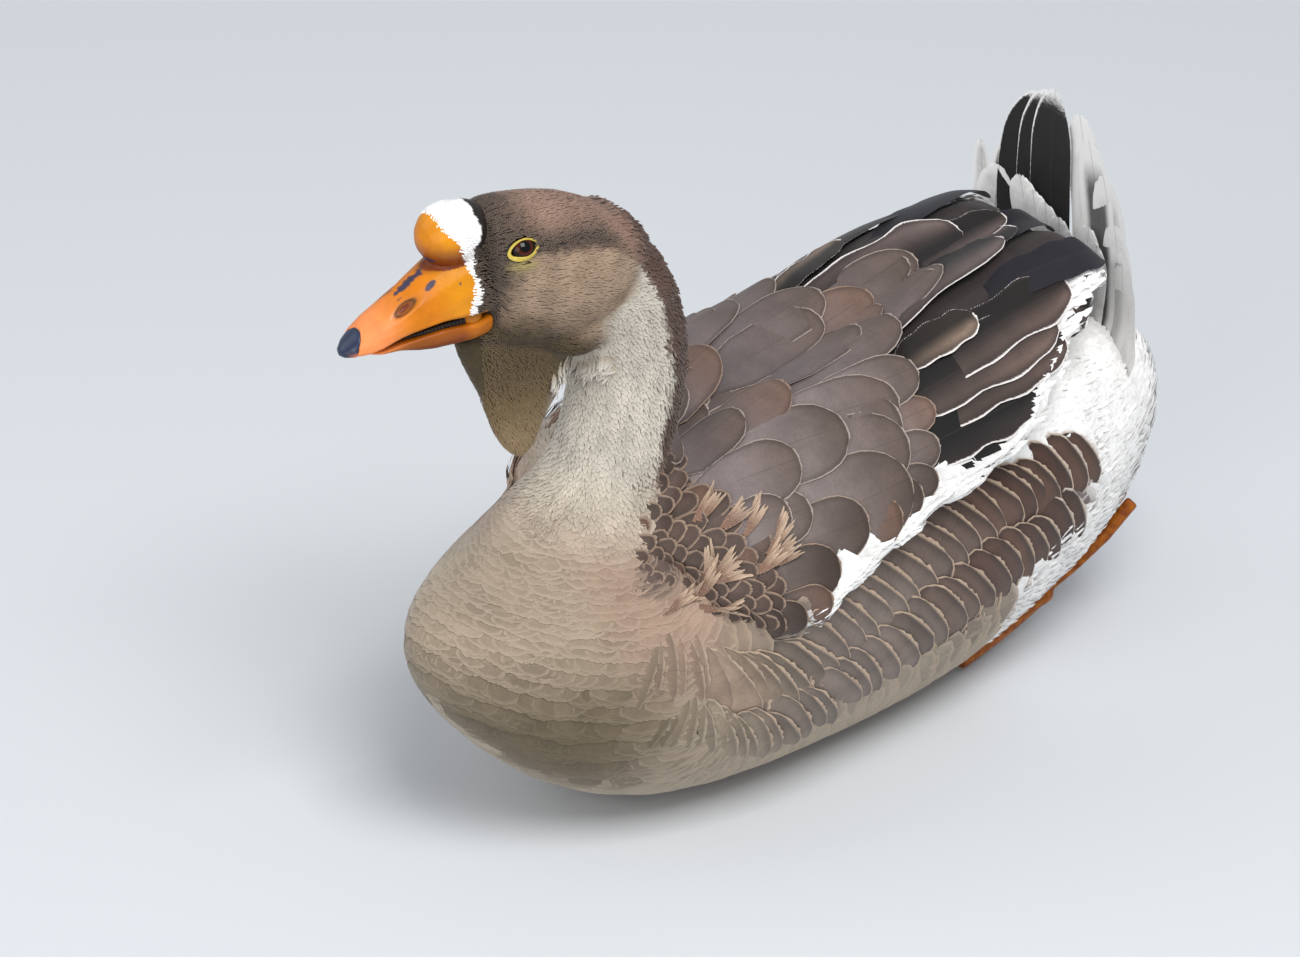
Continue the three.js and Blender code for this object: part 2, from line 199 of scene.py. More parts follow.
def put_places(mesh, points):
    mesh.vertices.foreach_set("co", (points * MM).astype(np.float32).ravel())
    mesh.update()


def add_object(name, data):
    piece = bpy.data.objects.new(name, data)
    bpy.context.scene.collection.objects.link(piece)
    return piece


def finished(name, bm):
    mesh = bpy.data.meshes.new(name)
    bm.to_mesh(mesh)
    bm.free()
    return mesh


def store(mesh, name, values):
    """Keeps one number or one colour for each vertex."""
    kind, key = ("FLOAT", "value") if values.ndim == 1 else ("FLOAT_COLOR", "color")
    mesh.attributes.new(name, kind, "POINT").data.foreach_set(key, values.astype(np.float32).ravel())


def store_tones(mesh, tones):
    store(mesh, "Base", np.concatenate([tones, np.ones((len(tones), 1))], -1))


def apply_modifiers(piece):
    mesh = bpy.data.meshes.new_from_object(piece.evaluated_get(bpy.context.evaluated_depsgraph_get()))
    piece.modifiers.clear()
    old = piece.data
    piece.data = mesh
    bpy.data.meshes.remove(old)


def one_surface(name, nodes, voxel, softening, swell=0.3, lumps=()):
    """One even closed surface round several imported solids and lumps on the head, clearances closed."""
    bm = bmesh.new()
    for node in nodes:
        bm.from_mesh(CAD[node].data)
    bmesh.ops.remove_doubles(bm, verts=bm.verts, dist=1e-5)
    for centre, radii in lumps:
        turn = Matrix.Translation(Vector(from_head(centre)) * MM) @ HEAD_TURN.to_4x4()
        for vert in bmesh.ops.create_icosphere(bm, subdivisions=3, radius=MM)["verts"]:
            vert.co = turn @ (vert.co * Vector(radii))
    bm.normal_update()
    for vert in bm.verts:
        vert.co += vert.normal * swell * MM
    piece = add_object(name, finished(name, bm))
    even = piece.modifiers.new("even", "REMESH")
    even.mode = "VOXEL"
    even.voxel_size = voxel * MM
    soften = piece.modifiers.new("soften", "SMOOTH")
    soften.factor = 0.5
    soften.iterations = softening
    apply_modifiers(piece)
    return piece


def shade_smooth(mesh):
    mesh.polygons.foreach_set("use_smooth", np.ones(len(mesh.polygons), bool))


class Surface:
    """Height above a closed surface on a grid, so that many feathers can be laid on it at once."""

    def __init__(self, mesh, cell, band):
        points = places(mesh)
        faces = [tuple(f.vertices) for f in mesh.polygons]
        tree = BVHTree.FromPolygons([Vector(p) for p in points], faces)
        self.cell = cell
        self.low = points.min(0) - band - 2 * cell
        size = np.ceil((points.max(0) + band + 2 * cell - self.low) / cell).astype(int) + 1
        near = np.zeros(size, bool)
        near[tuple(np.round((points - self.low) / cell).astype(int).T)] = True
        for axis in range(3):
            grown = near.copy()
            for step in range(1, int(band / cell) + 1):
                grown |= np.roll(near, step, axis) | np.roll(near, -step, axis)
            near = grown
        height = np.full(size, band, np.float32)
        for spot in np.argwhere(near):
            p = Vector(self.low + spot * cell)
            q, normal, _, far = tree.find_nearest(p)
            height[tuple(spot)] = math.copysign(far, (p - q).dot(normal))
        self.grid = np.stack([height, *np.gradient(height, cell)], -1).astype(np.float32)
        mesh.calc_loop_triangles()
        corners = np.empty(len(mesh.loop_triangles) * 3, np.int32)
        mesh.loop_triangles.foreach_get("vertices", corners)
        self.triangles = points[corners.reshape(-1, 3)]

    def look(self, p):
        """Height above the surface and the outward direction, at points p."""
        flat = (p.reshape(-1, 3) - self.low) / self.cell
        corner = np.clip(np.floor(flat).astype(int), 0, np.array(self.grid.shape[:3]) - 2)
        part = np.clip(flat - corner, 0, 1)
        found = np.zeros((len(flat), 4))
        for step in np.ndindex(2, 2, 2):
            share = np.where(step, part, 1 - part).prod(1)
            found += share[:, None] * self.grid[tuple((corner + step).T)]
        shape = p.shape[:-1]
        return found[:, 0].reshape(shape), unit(found[:, 1:]).reshape(*shape, 3)

    def onto(self, p, times=2):
        """Points moved onto the surface, in a few steps."""
        for _ in range(times):
            height, out = self.look(p)
            p = p - height[..., None] * out
        return p

    def at_angle(self, y, degrees):
        """Points on the surface at a station along the body and an angle round it (negative: right side)."""
        turn = np.radians(np.asarray(degrees, float))
        y = np.asarray(y, float)
        axis = np.stack([0 * y, y, 0 * y + BODY_AXIS_Z], -1)
        ray = np.stack([np.sin(turn), 0 * y, np.cos(turn)], -1)
        reach = np.full(y.shape, BEYOND_BODY)
        for _ in range(40):
            reach = reach - 0.8 * self.look(axis + ray * reach[..., None])[0]
        return axis + ray * reach[..., None]

    def spread(self, spacing, wanted):
        """Points scattered over the wanted part of the surface, no nearer together than the spacing."""
        a, b, c = self.triangles.transpose(1, 0, 2)
        middle = (a + b + c) / 3
        gap = spacing(middle)
        weight = 0.5 * np.linalg.norm(np.cross(b - a, c - a), axis=1) / gap ** 2 * wanted(middle)
        count = int(weight.sum() * 5)
        pick = chance.choice(len(a), count, p=weight / weight.sum())
        r1, r2 = np.sqrt(chance.random(count)), chance.random(count)
        shares = (1 - r1, r1 * (1 - r2), r1 * r2)
        points = sum(corner[pick] * share[:, None] for corner, share in zip((a, b, c), shares))
        gap = spacing(points)
        tree = KDTree(len(points))
        for i, p in enumerate(points):
            tree.insert(p, i)
        tree.balance()
        taken = np.zeros(len(points), bool)
        kept = []
        for i, p in enumerate(points):
            if taken[i]:
                continue
            kept.append(i)
            for _, j, _ in tree.find_range(p, gap[i]):
                taken[j] = True
        return self.onto(points[kept])


# ---- feathers ----
class Blade:
    """A flat feather shape: columns across it from -1 to 1, rows along it from root 0 to tip 1."""

    def __init__(self, columns, rows, root, widest, round_from, crowd=1.0):
        bm = bmesh.new()
        bmesh.ops.create_grid(bm, x_segments=columns, y_segments=rows, size=1.0)
        bm.verts.ensure_lookup_table()
        flat = np.array([v.co for v in bm.verts])
        self.faces = np.array([[v.index for v in f.verts] for f in bm.faces])
        bm.free()
        self.across = flat[:, 0]
        self.along = 1 - (1 - (flat[:, 1] + 1) / 2) ** crowd
        t = self.along
        bend = 0.93 * np.clip((t - round_from) / (1 - round_from), 0, 1)
        self.half = (root + (1 - root) * smooth(t, 0, widest)) * np.sqrt(1 - bend ** 2)
        self.pull = 0.075 * (1 - round_from) * self.across ** 2 * smooth(t, 0.6, 1)
        self.stations, self.row = np.unique(np.round(t, 5), return_inverse=True)


TUFT = Blade(2, 3, root=0.5, widest=0.4, round_from=0.15, crowd=1.2)
VELVET = Blade(1, 2, root=0.7, widest=0.5, round_from=0.2)
BAR = Blade(4, 4, root=0.6, widest=0.4, round_from=0.8, crowd=1.4)
ROUND = Blade(8, 11, root=0.4, widest=0.45, round_from=0.7, crowd=1.7)
BROAD = Blade(10, 10, root=0.4, widest=0.45, round_from=0.8, crowd=1.7)
QUILL = Blade(10, 22, root=0.35, widest=0.3, round_from=0.76, crowd=1.5)


def with_fourth(tones, value):
    """Colours with a measure kept as their fourth number."""
    return np.concatenate([tones, np.broadcast_to(value[..., None], tones.shape[:2] + (1,))], -1)


def lay(blade, surface, tip, way, length, width, rise, colours, rim=0.0, band=0.0, droop=0.0, roll=0.0,
        curl=0.0, sweep=0.0, fray=0.0, stiff=0.0, split=0.0, wave=0.0, tip_rim=1.0, side_rim=1.0,
        one_sided=0.0, settle=0.0):
    """Feathers that end at the tips and lie along the surface, each following its curve back to the root.
    rise is the height of root and tip over the surface, and colours are those of root, tip and edge.
    rim is the edge's width, tip_rim times as wide at the tip, side_rim times towards the root.
    band is the darkness inside the edge. split darkens the uphill half, partly a dark inner vane and partly
    painted shade from the feather above; one_sided takes its edge away.
    droop lowers the sides, roll lifts one of them, curl lifts the tip, sweep bends the feather sideways.
    fray and wave make the outline ragged and ruffled. stiff feathers follow the surface less closely.
    settle is the part of the length after which the feather lies at its full height."""
    count = len(tip)
    column = lambda value: np.broadcast_to(np.asarray(value, float), (count,)).copy()[:, None]
    length, width, roll, curl, sweep, rim, band, low, high, split, tip_rim, side_rim, settle = map(
        column, (length, width, roll, curl, sweep, rim, band, *rise, split, tip_rim, side_rim, settle))
    spine, ways, outs = [], [], []
    p = surface.onto(tip)
    out = surface.look(p)[1]
    way = along_surface(way, out)
    before = 1.0
    for station in blade.stations[::-1]:
        step = (before - station) * length
        if station != before or not spine:
            p = surface.onto(p - way * step, 1)
            out = surface.look(p)[1]
            side = np.cross(way, out)
            way = along_surface(way + side * (sweep * (before - station)), out)
        before = station
        spine.append(p)
        ways.append(way)
        outs.append(out)
    spine, ways, outs = (np.stack(part[::-1], 1)[:, blade.row] for part in (spine, ways, outs))
    side = np.cross(ways, outs)
    a, t = blade.across[None], blade.along[None]
    half = blade.half[None] * width / 2
    waves = t * 3.0 * chance.uniform(0.7, 1.3, (count, 1)) + chance.random((count, 1))
    ruffle = np.sin(2 * math.pi * waves) * a ** 4 * smooth(t, 0.3, 0.5) * smooth(-t, -0.95, -0.8)
    half = half * (1 + wave * ruffle)
    ragged = lambda: fray * np.clip(chance.normal(size=(count, len(blade.across))), -1.5, 1.5)
    notch = ragged() * (np.abs(a) > 0.99) * smooth(t, 0.2, 0.5) + ragged() * (t > 0.999)
    p = spine + side * (a * half)[..., None] + ways * (notch - blade.pull[None] * length)[..., None]
    draped = surface.onto(p)
    p = draped + (p - draped) * stiff
    climb = np.where(settle > 0, smooth(t / np.maximum(settle, 0.01), 0.0, 1.0), t)
    height = low + (high - low) * climb + curl * t ** 4
    height = height - droop * width * a ** 2 * smooth(t, 0.0, 0.5) + roll * a
    height = height + 4 * wave * ruffle
    p = p + surface.look(p)[1] * height[..., None]
    p[..., 2] = np.maximum(p[..., 2], OVER_FLOOR)
    root_colour, tip_colour, edge_colour = (np.broadcast_to(c, (count, 3))[:, None] for c in colours)
    base = mix(root_colour, tip_colour, smooth(t, 0.35, 1.0) * np.ones((count, 1)))
    uphill = -np.sign(roll) * a
    # Painted shade: the uphill half darkens, partly its dark inner vane and partly the shade of the feather
    # that overlaps it.
    base = base * (1 - split * smooth(uphill, -0.85, 0.2))[..., None]
    rims = rim * (1 - one_sided * smooth(uphill, 0.0, 0.5)) * np.ones(base.shape[:2])
    rims = rims * (side_rim + (1 - side_rim) * smooth(t, 0.5, 0.88))
    return {
        "blade": blade, "points": p, "root": spine[:, 0],
        "inset": np.minimum((1 - np.abs(a)) * half, (1 - t) * (length / tip_rim)),
        "vane": np.stack([a * half, t * length], -1),
        "base": with_fourth(base, rims),
        "edge": with_fourth(np.broadcast_to(edge_colour, base.shape), band),
    }


SMALL_PATCH = 0.003             # size of a small feather's patch in the bake map
CELL_MARGIN = 0.08              # part of a large feather's cell that stays free on each side


def patches(batch, layout):
    """Bake-map corners: each small feather is a patch at its root's place on an unrolled body, neck or head;
    large feathers lie side by side in a grid."""
    count = len(batch["inset"])
    vane = batch["vane"]
    across = vane[..., 0] / (np.abs(vane[..., 0]).max(1, keepdims=True) * 2 + 1e-9) + 0.5
    along = vane[..., 1] / (vane[..., 1].max(1, keepdims=True) + 1e-9)
    local = np.stack([across, along], -1)
    if isinstance(layout, dict):
        side = math.ceil(math.sqrt(layout["total"]))
        number = np.arange(layout["start"], layout["start"] + count)
        cell = np.stack([number % side, number // side], -1) / side
        return cell[:, None] + (CELL_MARGIN + (1 - 2 * CELL_MARGIN) * local) / side
    root = batch["root"]
    if layout == "body":
        turn, level = np.arctan2(root[:, 0], root[:, 2] - BODY_AXIS_Z), (root[:, 1] + 270) / 540
    elif layout == "neck":
        turn = np.arctan2(root[:, 0], root[:, 1] - neck_line(root[:, 2]))
        level = (root[:, 2] - 130) / 205
    else:
        q = to_head(root)
        turn, level = np.arctan2(q[:, 0], q[:, 2] + 8), 0.4 + 0.6 * (q[:, 1] + 75) / 140
        bag = q[:, 2] < -36
        flat = math.pi * np.sign(q[:, 0]) * (0.03 + 0.94 * np.clip((q[:, 1] + 60) / 90, 0, 1))
        turn, level = np.where(bag, flat, turn), np.where(bag, -(q[:, 2] + 36) / 240, level)
    place = np.stack([turn / (2 * math.pi) + 0.5, level], -1)
    return np.clip(place, 0.004, 0.993)[:, None] + SMALL_PATCH * (local - 0.5)


def coat_piece(name, batches, material, stands_for=(), layout="body"):
    """Joins batches of laid feathers into one piece that rides with the goose."""
    points, faces, bake, start, number = [], [], [], 0, 0
    total = sum(len(batch["points"]) for batch in batches)
    for batch in batches:
        count, per = batch["inset"].shape
        points.append(batch["points"].reshape(-1, 3))
        offsets = start + np.arange(count)[:, None, None] * per
        faces.append((batch["blade"].faces[None] + offsets).reshape(-1, 4))
        grid = {"total": total, "start": number}
        bake.append(patches(batch, grid if layout == "grid" else layout).reshape(-1, 2))
        start += count * per
        number += count
    points, faces, bake = np.concatenate(points), np.concatenate(faces), np.concatenate(bake)
    mesh = bpy.data.meshes.new(name)
    mesh.vertices.add(len(points))
    mesh.loops.add(faces.size)
    mesh.polygons.add(len(faces))
    mesh.loops.foreach_set("vertex_index", faces.astype(np.int32).ravel())
    mesh.polygons.foreach_set("loop_start", (np.arange(len(faces)) * 4).astype(np.int32))
    put_places(mesh, points)
    shade_smooth(mesh)
    vane = np.concatenate([batch["vane"].reshape(-1, 2) for batch in batches]) * 0.01
    for layer, values in (("Vane", vane), ("OFBake", bake)):
        corners = values[faces.ravel()].astype(np.float32)
        mesh.uv_layers.new(name=layer).data.foreach_set("uv", corners.ravel())
    for layer in ("base", "edge"):
        store(mesh, layer.title(), np.concatenate([batch[layer].reshape(-1, 4) for batch in batches]))
    store(mesh, "Inset", np.concatenate([batch["inset"].ravel() for batch in batches]))
    mesh.validate()
    mesh.materials.append(material)
    ride(add_object(name, mesh), stands_for)


def ride(piece, stands_for=()):
    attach(piece, "root")
    if stands_for:
        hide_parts(*stands_for)


# ---- materials ----
class Finish:
    """A material and short ways to add its nodes."""

    def __init__(self, name, roughness, specular=0.35, sheen=0.0, coat=0.0):
        self.material = bpy.data.materials.new(name)
        self.material.use_nodes = True
        self.tree = self.material.node_tree
        self.shader = self.tree.nodes["Principled BSDF"]
        for key, value in (("Roughness", roughness), ("Specular IOR Level", specular),
                           ("Sheen Weight", sheen), ("Coat Weight", coat), ("Coat Roughness", 0.06)):
            self.shader.inputs[key].default_value = value

    def join(self, value, socket):
        if isinstance(value, bpy.types.NodeSocket):
            self.tree.links.new(value, socket)
        elif value is not None:
            socket.default_value = value

    def node(self, kind, *values, **settings):
        made = self.tree.nodes.new(kind)
        for key, value in settings.items():
            setattr(made, key, value)
        for value, socket in zip(values, made.inputs):
            self.join(value, socket)
        return made

    def sum(self, kind, a, b=None, c=None):
        return self.node("ShaderNodeMath", a, b, c, operation=kind).outputs[0]

    def blend(self, share, a, b, kind="MIX"):
        made = self.node("ShaderNodeMix", data_type="RGBA", blend_type=kind)
        for value, key in ((share, 0), (a, 6), (b, 7)):
            self.join(value, made.inputs[key])
        return made.outputs[2]

    def product(self, a, b):
        return self.sum("MULTIPLY", a, b)

    def plus(self, a, b):
        return self.sum("ADD", a, b)

    def line(self, a, b, c):
        """a times b, plus c."""
        return self.sum("MULTIPLY_ADD", a, b, c)

    def shaded(self, tone, level):
        """A colour made lighter or darker by a level."""
        grey = self.node("ShaderNodeCombineXYZ", level, level, level).outputs[0]
        return self.blend(1.0, tone, grey, "MULTIPLY")

    def objects(self):
        """Places on the goose itself, in metres."""
        return self.node("ShaderNodeTexCoord").outputs["Object"]

    def step(self, value, low, high, to_low=0.0, to_high=1.0):
        return self.node("ShaderNodeMapRange", value, low, high, to_low, to_high,
                         interpolation_type="SMOOTHSTEP").outputs[0]

    def noise(self, vector, scale, detail=3.0, rough=0.55):
        made = self.node("ShaderNodeTexNoise")
        for key, value in (("Vector", vector), ("Scale", scale), ("Detail", detail), ("Roughness", rough)):
            self.join(value, made.inputs[key])
        return made.outputs["Fac"]

    def attribute(self, name):
        return self.node("ShaderNodeAttribute", attribute_name=name)

    def stretched(self, vector, scale):
        return self.node("ShaderNodeMapping", vector, None, None, scale).outputs[0]

    def bump(self, height, strength, distance):
        made = self.node("ShaderNodeBump")
        for key, value in (("Strength", strength), ("Distance", distance * MM), ("Height", height)):
            self.join(value, made.inputs[key])
        self.join(made.outputs[0], self.shader.inputs["Normal"])

    def paint(self, value):
        self.join(value, self.shader.inputs["Base Color"])
        return self.material


def feather_finish(name, barb, barb_depth, streak, roughness, sheen, soft=0.25, barbed=False):
    """Vaned feather: pale rim from the outline inwards, slanting barbs, a shaft, darker hidden middle."""
    f = Finish(name, roughness, specular=0.3, sheen=sheen)
    base, edge = f.attribute("Base"), f.attribute("Edge")
    inset = f.attribute("Inset").outputs["Fac"]
    vane = f.node("ShaderNodeUVMap", uv_map="Vane").outputs[0]
    parts = f.node("ShaderNodeSeparateXYZ", vane)
    across = f.sum("ABSOLUTE", f.product(parts.outputs[0], 100.0))
    along = f.product(parts.outputs[1], 100.0)
    slant = f.plus(f.product(across, 0.8), f.product(along, -0.6))
    objects = f.objects()
    wander = f.noise(objects, 90.0, 3.0)
    fibre = f.sum("SINE", f.line(slant, 2 * math.pi / barb, f.product(wander, 14.0)))
    down_barb = f.plus(f.product(along, 0.22), f.product(across, 0.16))
    lines = f.node("ShaderNodeCombineXYZ", f.product(slant, 2.3), down_barb, parts.outputs[0])
    strands = f.noise(lines.outputs[0] if barbed else f.stretched(vane, (260.0, 26.0, 1.0)), 1.0, 4.0, 0.65)
    ragged = f.line(f.sum("SUBTRACT", strands, 0.5), 1.6, inset)
    ragged = f.line(fibre, 0.12, ragged)
    width = base.outputs["Alpha"]
    pale = f.step(ragged, f.product(width, 0.8 - soft), f.line(width, 0.8 + soft, 0.02),
                  1.0, 0.0)
    shadow = f.step(inset, width, f.line(width, 3.0, 2.5), 1.0, 0.0)
    shade = f.product(edge.outputs["Alpha"], shadow)
    tone = f.blend(shade, base.outputs["Color"], (0.028, 0.018, 0.014, 1.0))
    mottle = f.step(f.noise(objects, 55.0, 4.0), 0.3, 0.7, 0.86, 1.12)
    grain = f.step(strands, 0.25, 0.75, 1.0 - streak, 1.0 + streak)
    line = f.line(fibre, 0.05, 1.0)
    level = f.product(f.product(mottle, grain), line)
    tone = f.shaded(tone, level)
    tone = f.blend(pale, tone, edge.outputs["Color"])
    shaft = f.step(across, 0.18, 0.45, 0.28, 0.0)
    tone = f.blend(f.product(shaft, f.step(along, 22.0, 34.0)), tone, (0.05, 0.035, 0.028, 1.0))
    height = f.plus(f.product(fibre, 0.4), f.product(strands, 1.2))
    f.bump(height, 0.5, barb_depth)
    return f.paint(tone)


# ---- markings ----
# Breast and neck, flank and belly.
CREAM, BEIGE, BEIGE_TIP, ROSE = colours("#c4bcae", "#8b7b67", "#af9f8b", "#a48373")
# The breast's low colour is painted shade: dark olive, as if in shade with a greenish reflection from below.
FLANK_GREY, FLANK_BROWN, BELLY, BREAST_LOW_SHADE = colours("#82736a", "#4b3127", "#a39580", "#5c4f39")
# Head and nape.
CROWN, NAPE, CHEEK, LORE = colours("#937566", "#5a453b", "#a28a74", "#332b28")
# The jaw's colour is its own olive-brown, darkened further with painted shade and a greenish reflection from
# below.
JAW_BROWN_AND_SHADE, DEWLAP, DEWLAP_TIP, BLACK_BROWN = colours("#3a2d10", "#5a4a2a", "#917a58", "#231b18")
# Wings and tail.
SCAPULAR, SCAPULAR_TIP, COVERT, COVERT_TIP = colours("#827674", "#5f5049", "#5f5149", "#3f312a")
WARM, SMALL_COVERT, TERTIAL, LOW_TERTIAL = colours("#80604f", "#54433b", "#7d675e", "#3a3230")
BACK_GREY, COAL, DARK, TAN = colours("#6c605f", "#1b1922", "#120f0f", "#b8a089")
# White and the pale edges of feathers.
WHITE, PALE_RIM, WARM_RIM, WHITE_RIM = colours("#f7f5f2", "#b7a79d", "#a48b77", "#e8e1dd")


def head_share(p):
    """1 on the head and dewlap, 0 on the neck and body."""
    q = to_head(p)
    end = np.interp(q[..., 2], HEAD_END_Z, HEAD_END_Y)
    return smooth(end - q[..., 1], -9, 7) * smooth(p[..., 2], 198, 206) * smooth(q[..., 2], -118, -112)


def mantle_line(p):
    """How far a point is in front of the line where the brown mantle starts."""
    return np.interp(p[..., 2], MANTLE_Z, MANTLE_Y) + FAR_MANTLE * smooth(-p[..., 0], 5, 28) - p[..., 1]


def neck_share(p):
    front = np.interp(p[..., 1], [-200, -170, -120, -70], [172, 168, 158, 165])
    return smooth(p[..., 2], front - 14, front + 16) * smooth(mantle_line(p), -4, 4)


def dark_share(p):
    """1 in the brown of the cap and the stripe down the nape, 0 outside."""
    q = to_head(p)
    ragged = 1.5 * ripple(p, 9.0) + 1.0 * ripple(p, 4.0, 1.0)
    over_cap = q[..., 2] - np.interp(q[..., 1], CAP_Y, CAP_Z)
    cap = smooth(over_cap + ragged, -2.5, 2.5) * smooth(p[..., 2], 276, 284)
    angle = np.interp(p[..., 2], STRIPE_Z, STRIPE_ANGLE)
    stripe = smooth(angle - neck_angle(p) + 3 * ragged, -5, 5) * smooth(-p[..., 2], -288, -280)
    return np.maximum(cap, stripe * smooth(p[..., 2], 172, 186))


def head_colour(p):
    q = to_head(p)
    y, z = q[..., 1], q[..., 2]
    line = np.interp(y, CAP_Y, CAP_Z)
    under_jaw = np.interp(y, JAW_Y, JAW_Z) - z
    # Below the jaw line the cheek turns to the jaw's colour, partly its olive-brown and partly painted shade
    # under the jaw; the top of the dewlap is shaded the same way.
    tone = mix(CHEEK, JAW_BROWN_AND_SHADE, smooth(under_jaw + 3 * ripple(p, 14.0), -34, -6) * smooth(-y, -26, 0))
    tone = mix(tone, JAW_BROWN_AND_SHADE, 0.26 * smooth(0.5 + 0.5 * ripple(p, 20.0), 0.4, 0.9))
    bag = mix(mix(DEWLAP, JAW_BROWN_AND_SHADE, 0.8 * smooth(z, -72, -46)), DEWLAP_TIP, smooth(-z, 66, 102))
    tone = mix(tone, bag, smooth(under_jaw, -1, 3))
    # A painted shade line along the crease between the jaw and the dewlap.
    tone = mix(tone, BLACK_BROWN, 0.6 * peak((under_jaw + 0.5) / 1.6) * smooth(-y, -6, 12))
    stripe = peak((z - line - 5) / 7.5) * smooth(y, -34, -24) * smooth(-y, -36, -14)
    tone = mix(tone, mix(CROWN, LORE * 0.85, 0.97 * stripe), dark_share(p))
    front = np.interp(z, [-24, -12, 8, 18, 26, 40], [-49.5, -48, -45.5, -44, -42, -39])
    uneven = 1.5 * ripple(p, 8.0)
    fade = np.interp(z, [-10, 2, 12, 28], [8, 14, 25, 32])
    dark_front = 0.95 * smooth((front - y + 2 * uneven) / fade, -1, -0.15)
    tone = mix(tone, LORE, dark_front * smooth(z, -26, -14))
    tone = mix(tone, BLACK_BROWN, smooth(front - y + uneven, -3, 2) * smooth(z, -26, -16))
    around = peak(((y - OPENING[1]) / 11) ** 2 + ((z - OPENING[2] - 1) / 9.5) ** 2)
    tone = mix(tone, LORE, 0.75 * around * smooth(z - 0.25 * y, 22, 28))
    tone = tone * (1 + 0.09 * ripple(p, 4.5) + 0.06 * ripple(p, 11.0, 2.0))[..., None]
    beneath = np.exp(-((y - OPENING[1] + 1) / 7.0) ** 4 - ((z - OPENING[2] + 7.8) / 2.6) ** 2)
    return mix(tone, colour("#9a8a55"), 0.95 * beneath)


def behind_flank(p):
    """How far a point is behind the rear end of the flank's brown feathers."""
    return p[..., 1] - np.interp(body_angle(p), FLANK_END_ANGLE, FLANK_END_Y)


def markings(p):
    """Colour of the plumage and of its feathers' edges at points on the goose."""
    y, z = p[..., 1], p[..., 2]
    turn = body_angle(p)
    wobble = ripple(p, 16.0)
    breast = mix(BEIGE, BEIGE_TIP, 0.3 + 0.2 * wobble)
    side_rose = smooth(y, -180, -145) * smooth(-y, 80, 118) * smooth(z, 78, 125)
    breast = mix(breast, ROSE, 0.55 * side_rose)
    # Painted shade: the breast's low front and its feathers' edges darken towards olive, as if shaded and lit
    # by a greenish reflection from below.
    low = 0.92 * smooth(-z, -140, -74) * smooth(-y, 118, 178)
    breast = mix(breast, BREAST_LOW_SHADE, low)
    flank = mix(FLANK_GREY, FLANK_BROWN, smooth(y + 12 * wobble, -20, 85))
    body = mix(breast, flank, smooth(y + 8 * wobble, -115, -55) * smooth(turn, 20, 40))
    waterline = np.interp(y, [-200, -110, -60], [152, 130, 112])
    body = mix(body, BELLY, smooth(turn + 5 * wobble - waterline, -6, 16))
    body = mix(body, COVERT, smooth(-mantle_line(p), -4, 4) * smooth(-turn, -62, -50))
    above = flank_top(y) - turn
    below_rim = turn - wing_rim(y)
    strip = smooth(above, -2, 1) * smooth(y, -66, -58) * smooth(below_rim, -3, 0)
    white = np.maximum(smooth(behind_flank(p) + 4 * wobble, -5, 4), strip)
    body = mix(body, WHITE, white)
    # Painted shade: under the rear of the folded wing the body turns to the lower tertials' dark brown,
    # darkened further.
    folded = smooth(-below_rim, 0, 4) * smooth(-y, -192, -184)
    body = mix(body, LOW_TERTIAL * 0.7, folded * smooth(y, 10, 60))
    edge = mix(TAN, mix(BEIGE_TIP, ROSE, 0.5 * side_rose), smooth(-y, 80, 135))
    edge = mix(edge, BREAST_LOW_SHADE * 1.25, low)
    edge = mix(edge, WHITE, np.maximum(white, 0.4 * smooth(y, 90, 150)))
    neck = mix(CREAM, BEIGE_TIP * 1.1, 0.8 * smooth(-z, -205, -160))
    stripe = dark_share(p)
    neck = mix(neck, NAPE, stripe)
    share = neck_share(p)
    body = mix(body, neck, share)
    edge = mix(edge, mix(neck, WHITE, 0.12 * (1 - stripe)), share)
    share = head_share(p)
    tone = head_colour(p)
    return mix(body, tone, share), mix(edge, mix(tone, TAN, 0.2), share)


def row_distance(p):
    """Distance over the body from the foot of the neck, rearward along the sides."""
    round_neck = np.linalg.norm(p - NECK_FOOT, axis=-1)
    rearward = (p[..., 1] + 0.55 * (p[..., 2] - BODY_AXIS_Z)) / 1.14 + 222
    return mix(round_neck[..., None], rearward[..., None], smooth(p[..., 1], -140, -80))[..., 0]


def into_rows(p, way, looseness):
    """Moves feather tips along their lie into rows."""
    reach = np.arange(0, ROW_FROM[-1], 1.0)
    rows = np.cumsum(1 / np.interp(reach, ROW_FROM, ROW_GAP))
    here = row_distance(p)
    row = np.round(np.interp(here, reach, rows))
    step = np.interp(row, rows, reach) - here
    step += chance.normal(0, looseness, len(p)) * np.interp(here, ROW_FROM, ROW_GAP)
    return p + way * np.clip(step, -MOST_MOVED, MOST_MOVED)[:, None]


def lie(p, out):
    """Direction in which the feathers lie, along the surface."""
    y, z = p[..., 1], p[..., 2]
    q = to_head(p)
    front = smooth(-y, 80, 150)
    away = unit(p - NECK_FOOT)
    rear = np.zeros_like(p)
    rear[..., 1] = 1
    turn = body_angle(p)
    rear[..., 2] = 0.55 * smooth(turn, 50, 70) * smooth(-turn, -125, -100)
    rear[..., 2] += 1.2 * smooth(y, 170, 235)
    way = mix(rear, away, front)
    down = np.zeros_like(p)
    down[..., 2] = -1
    down[..., 1] = -(neck_line(z + 4) - neck_line(z - 4)) / 8
    way = mix(way, unit(down), smooth(z, 158, 196) * smooth(mantle_line(p), -4, 4))
    back = HEAD_AXES @ np.array([0.0, 1.0, -0.22])
    hang = HEAD_AXES @ np.array([0.0, 0.3, -1.0])
    on_bag = smooth(np.interp(q[..., 1], JAW_Y, JAW_Z) - q[..., 2], -4, 10)
    head_way = mix(np.broadcast_to(back, p.shape), hang, on_bag)
    return along_surface(mix(way, head_way, head_share(p)), out)


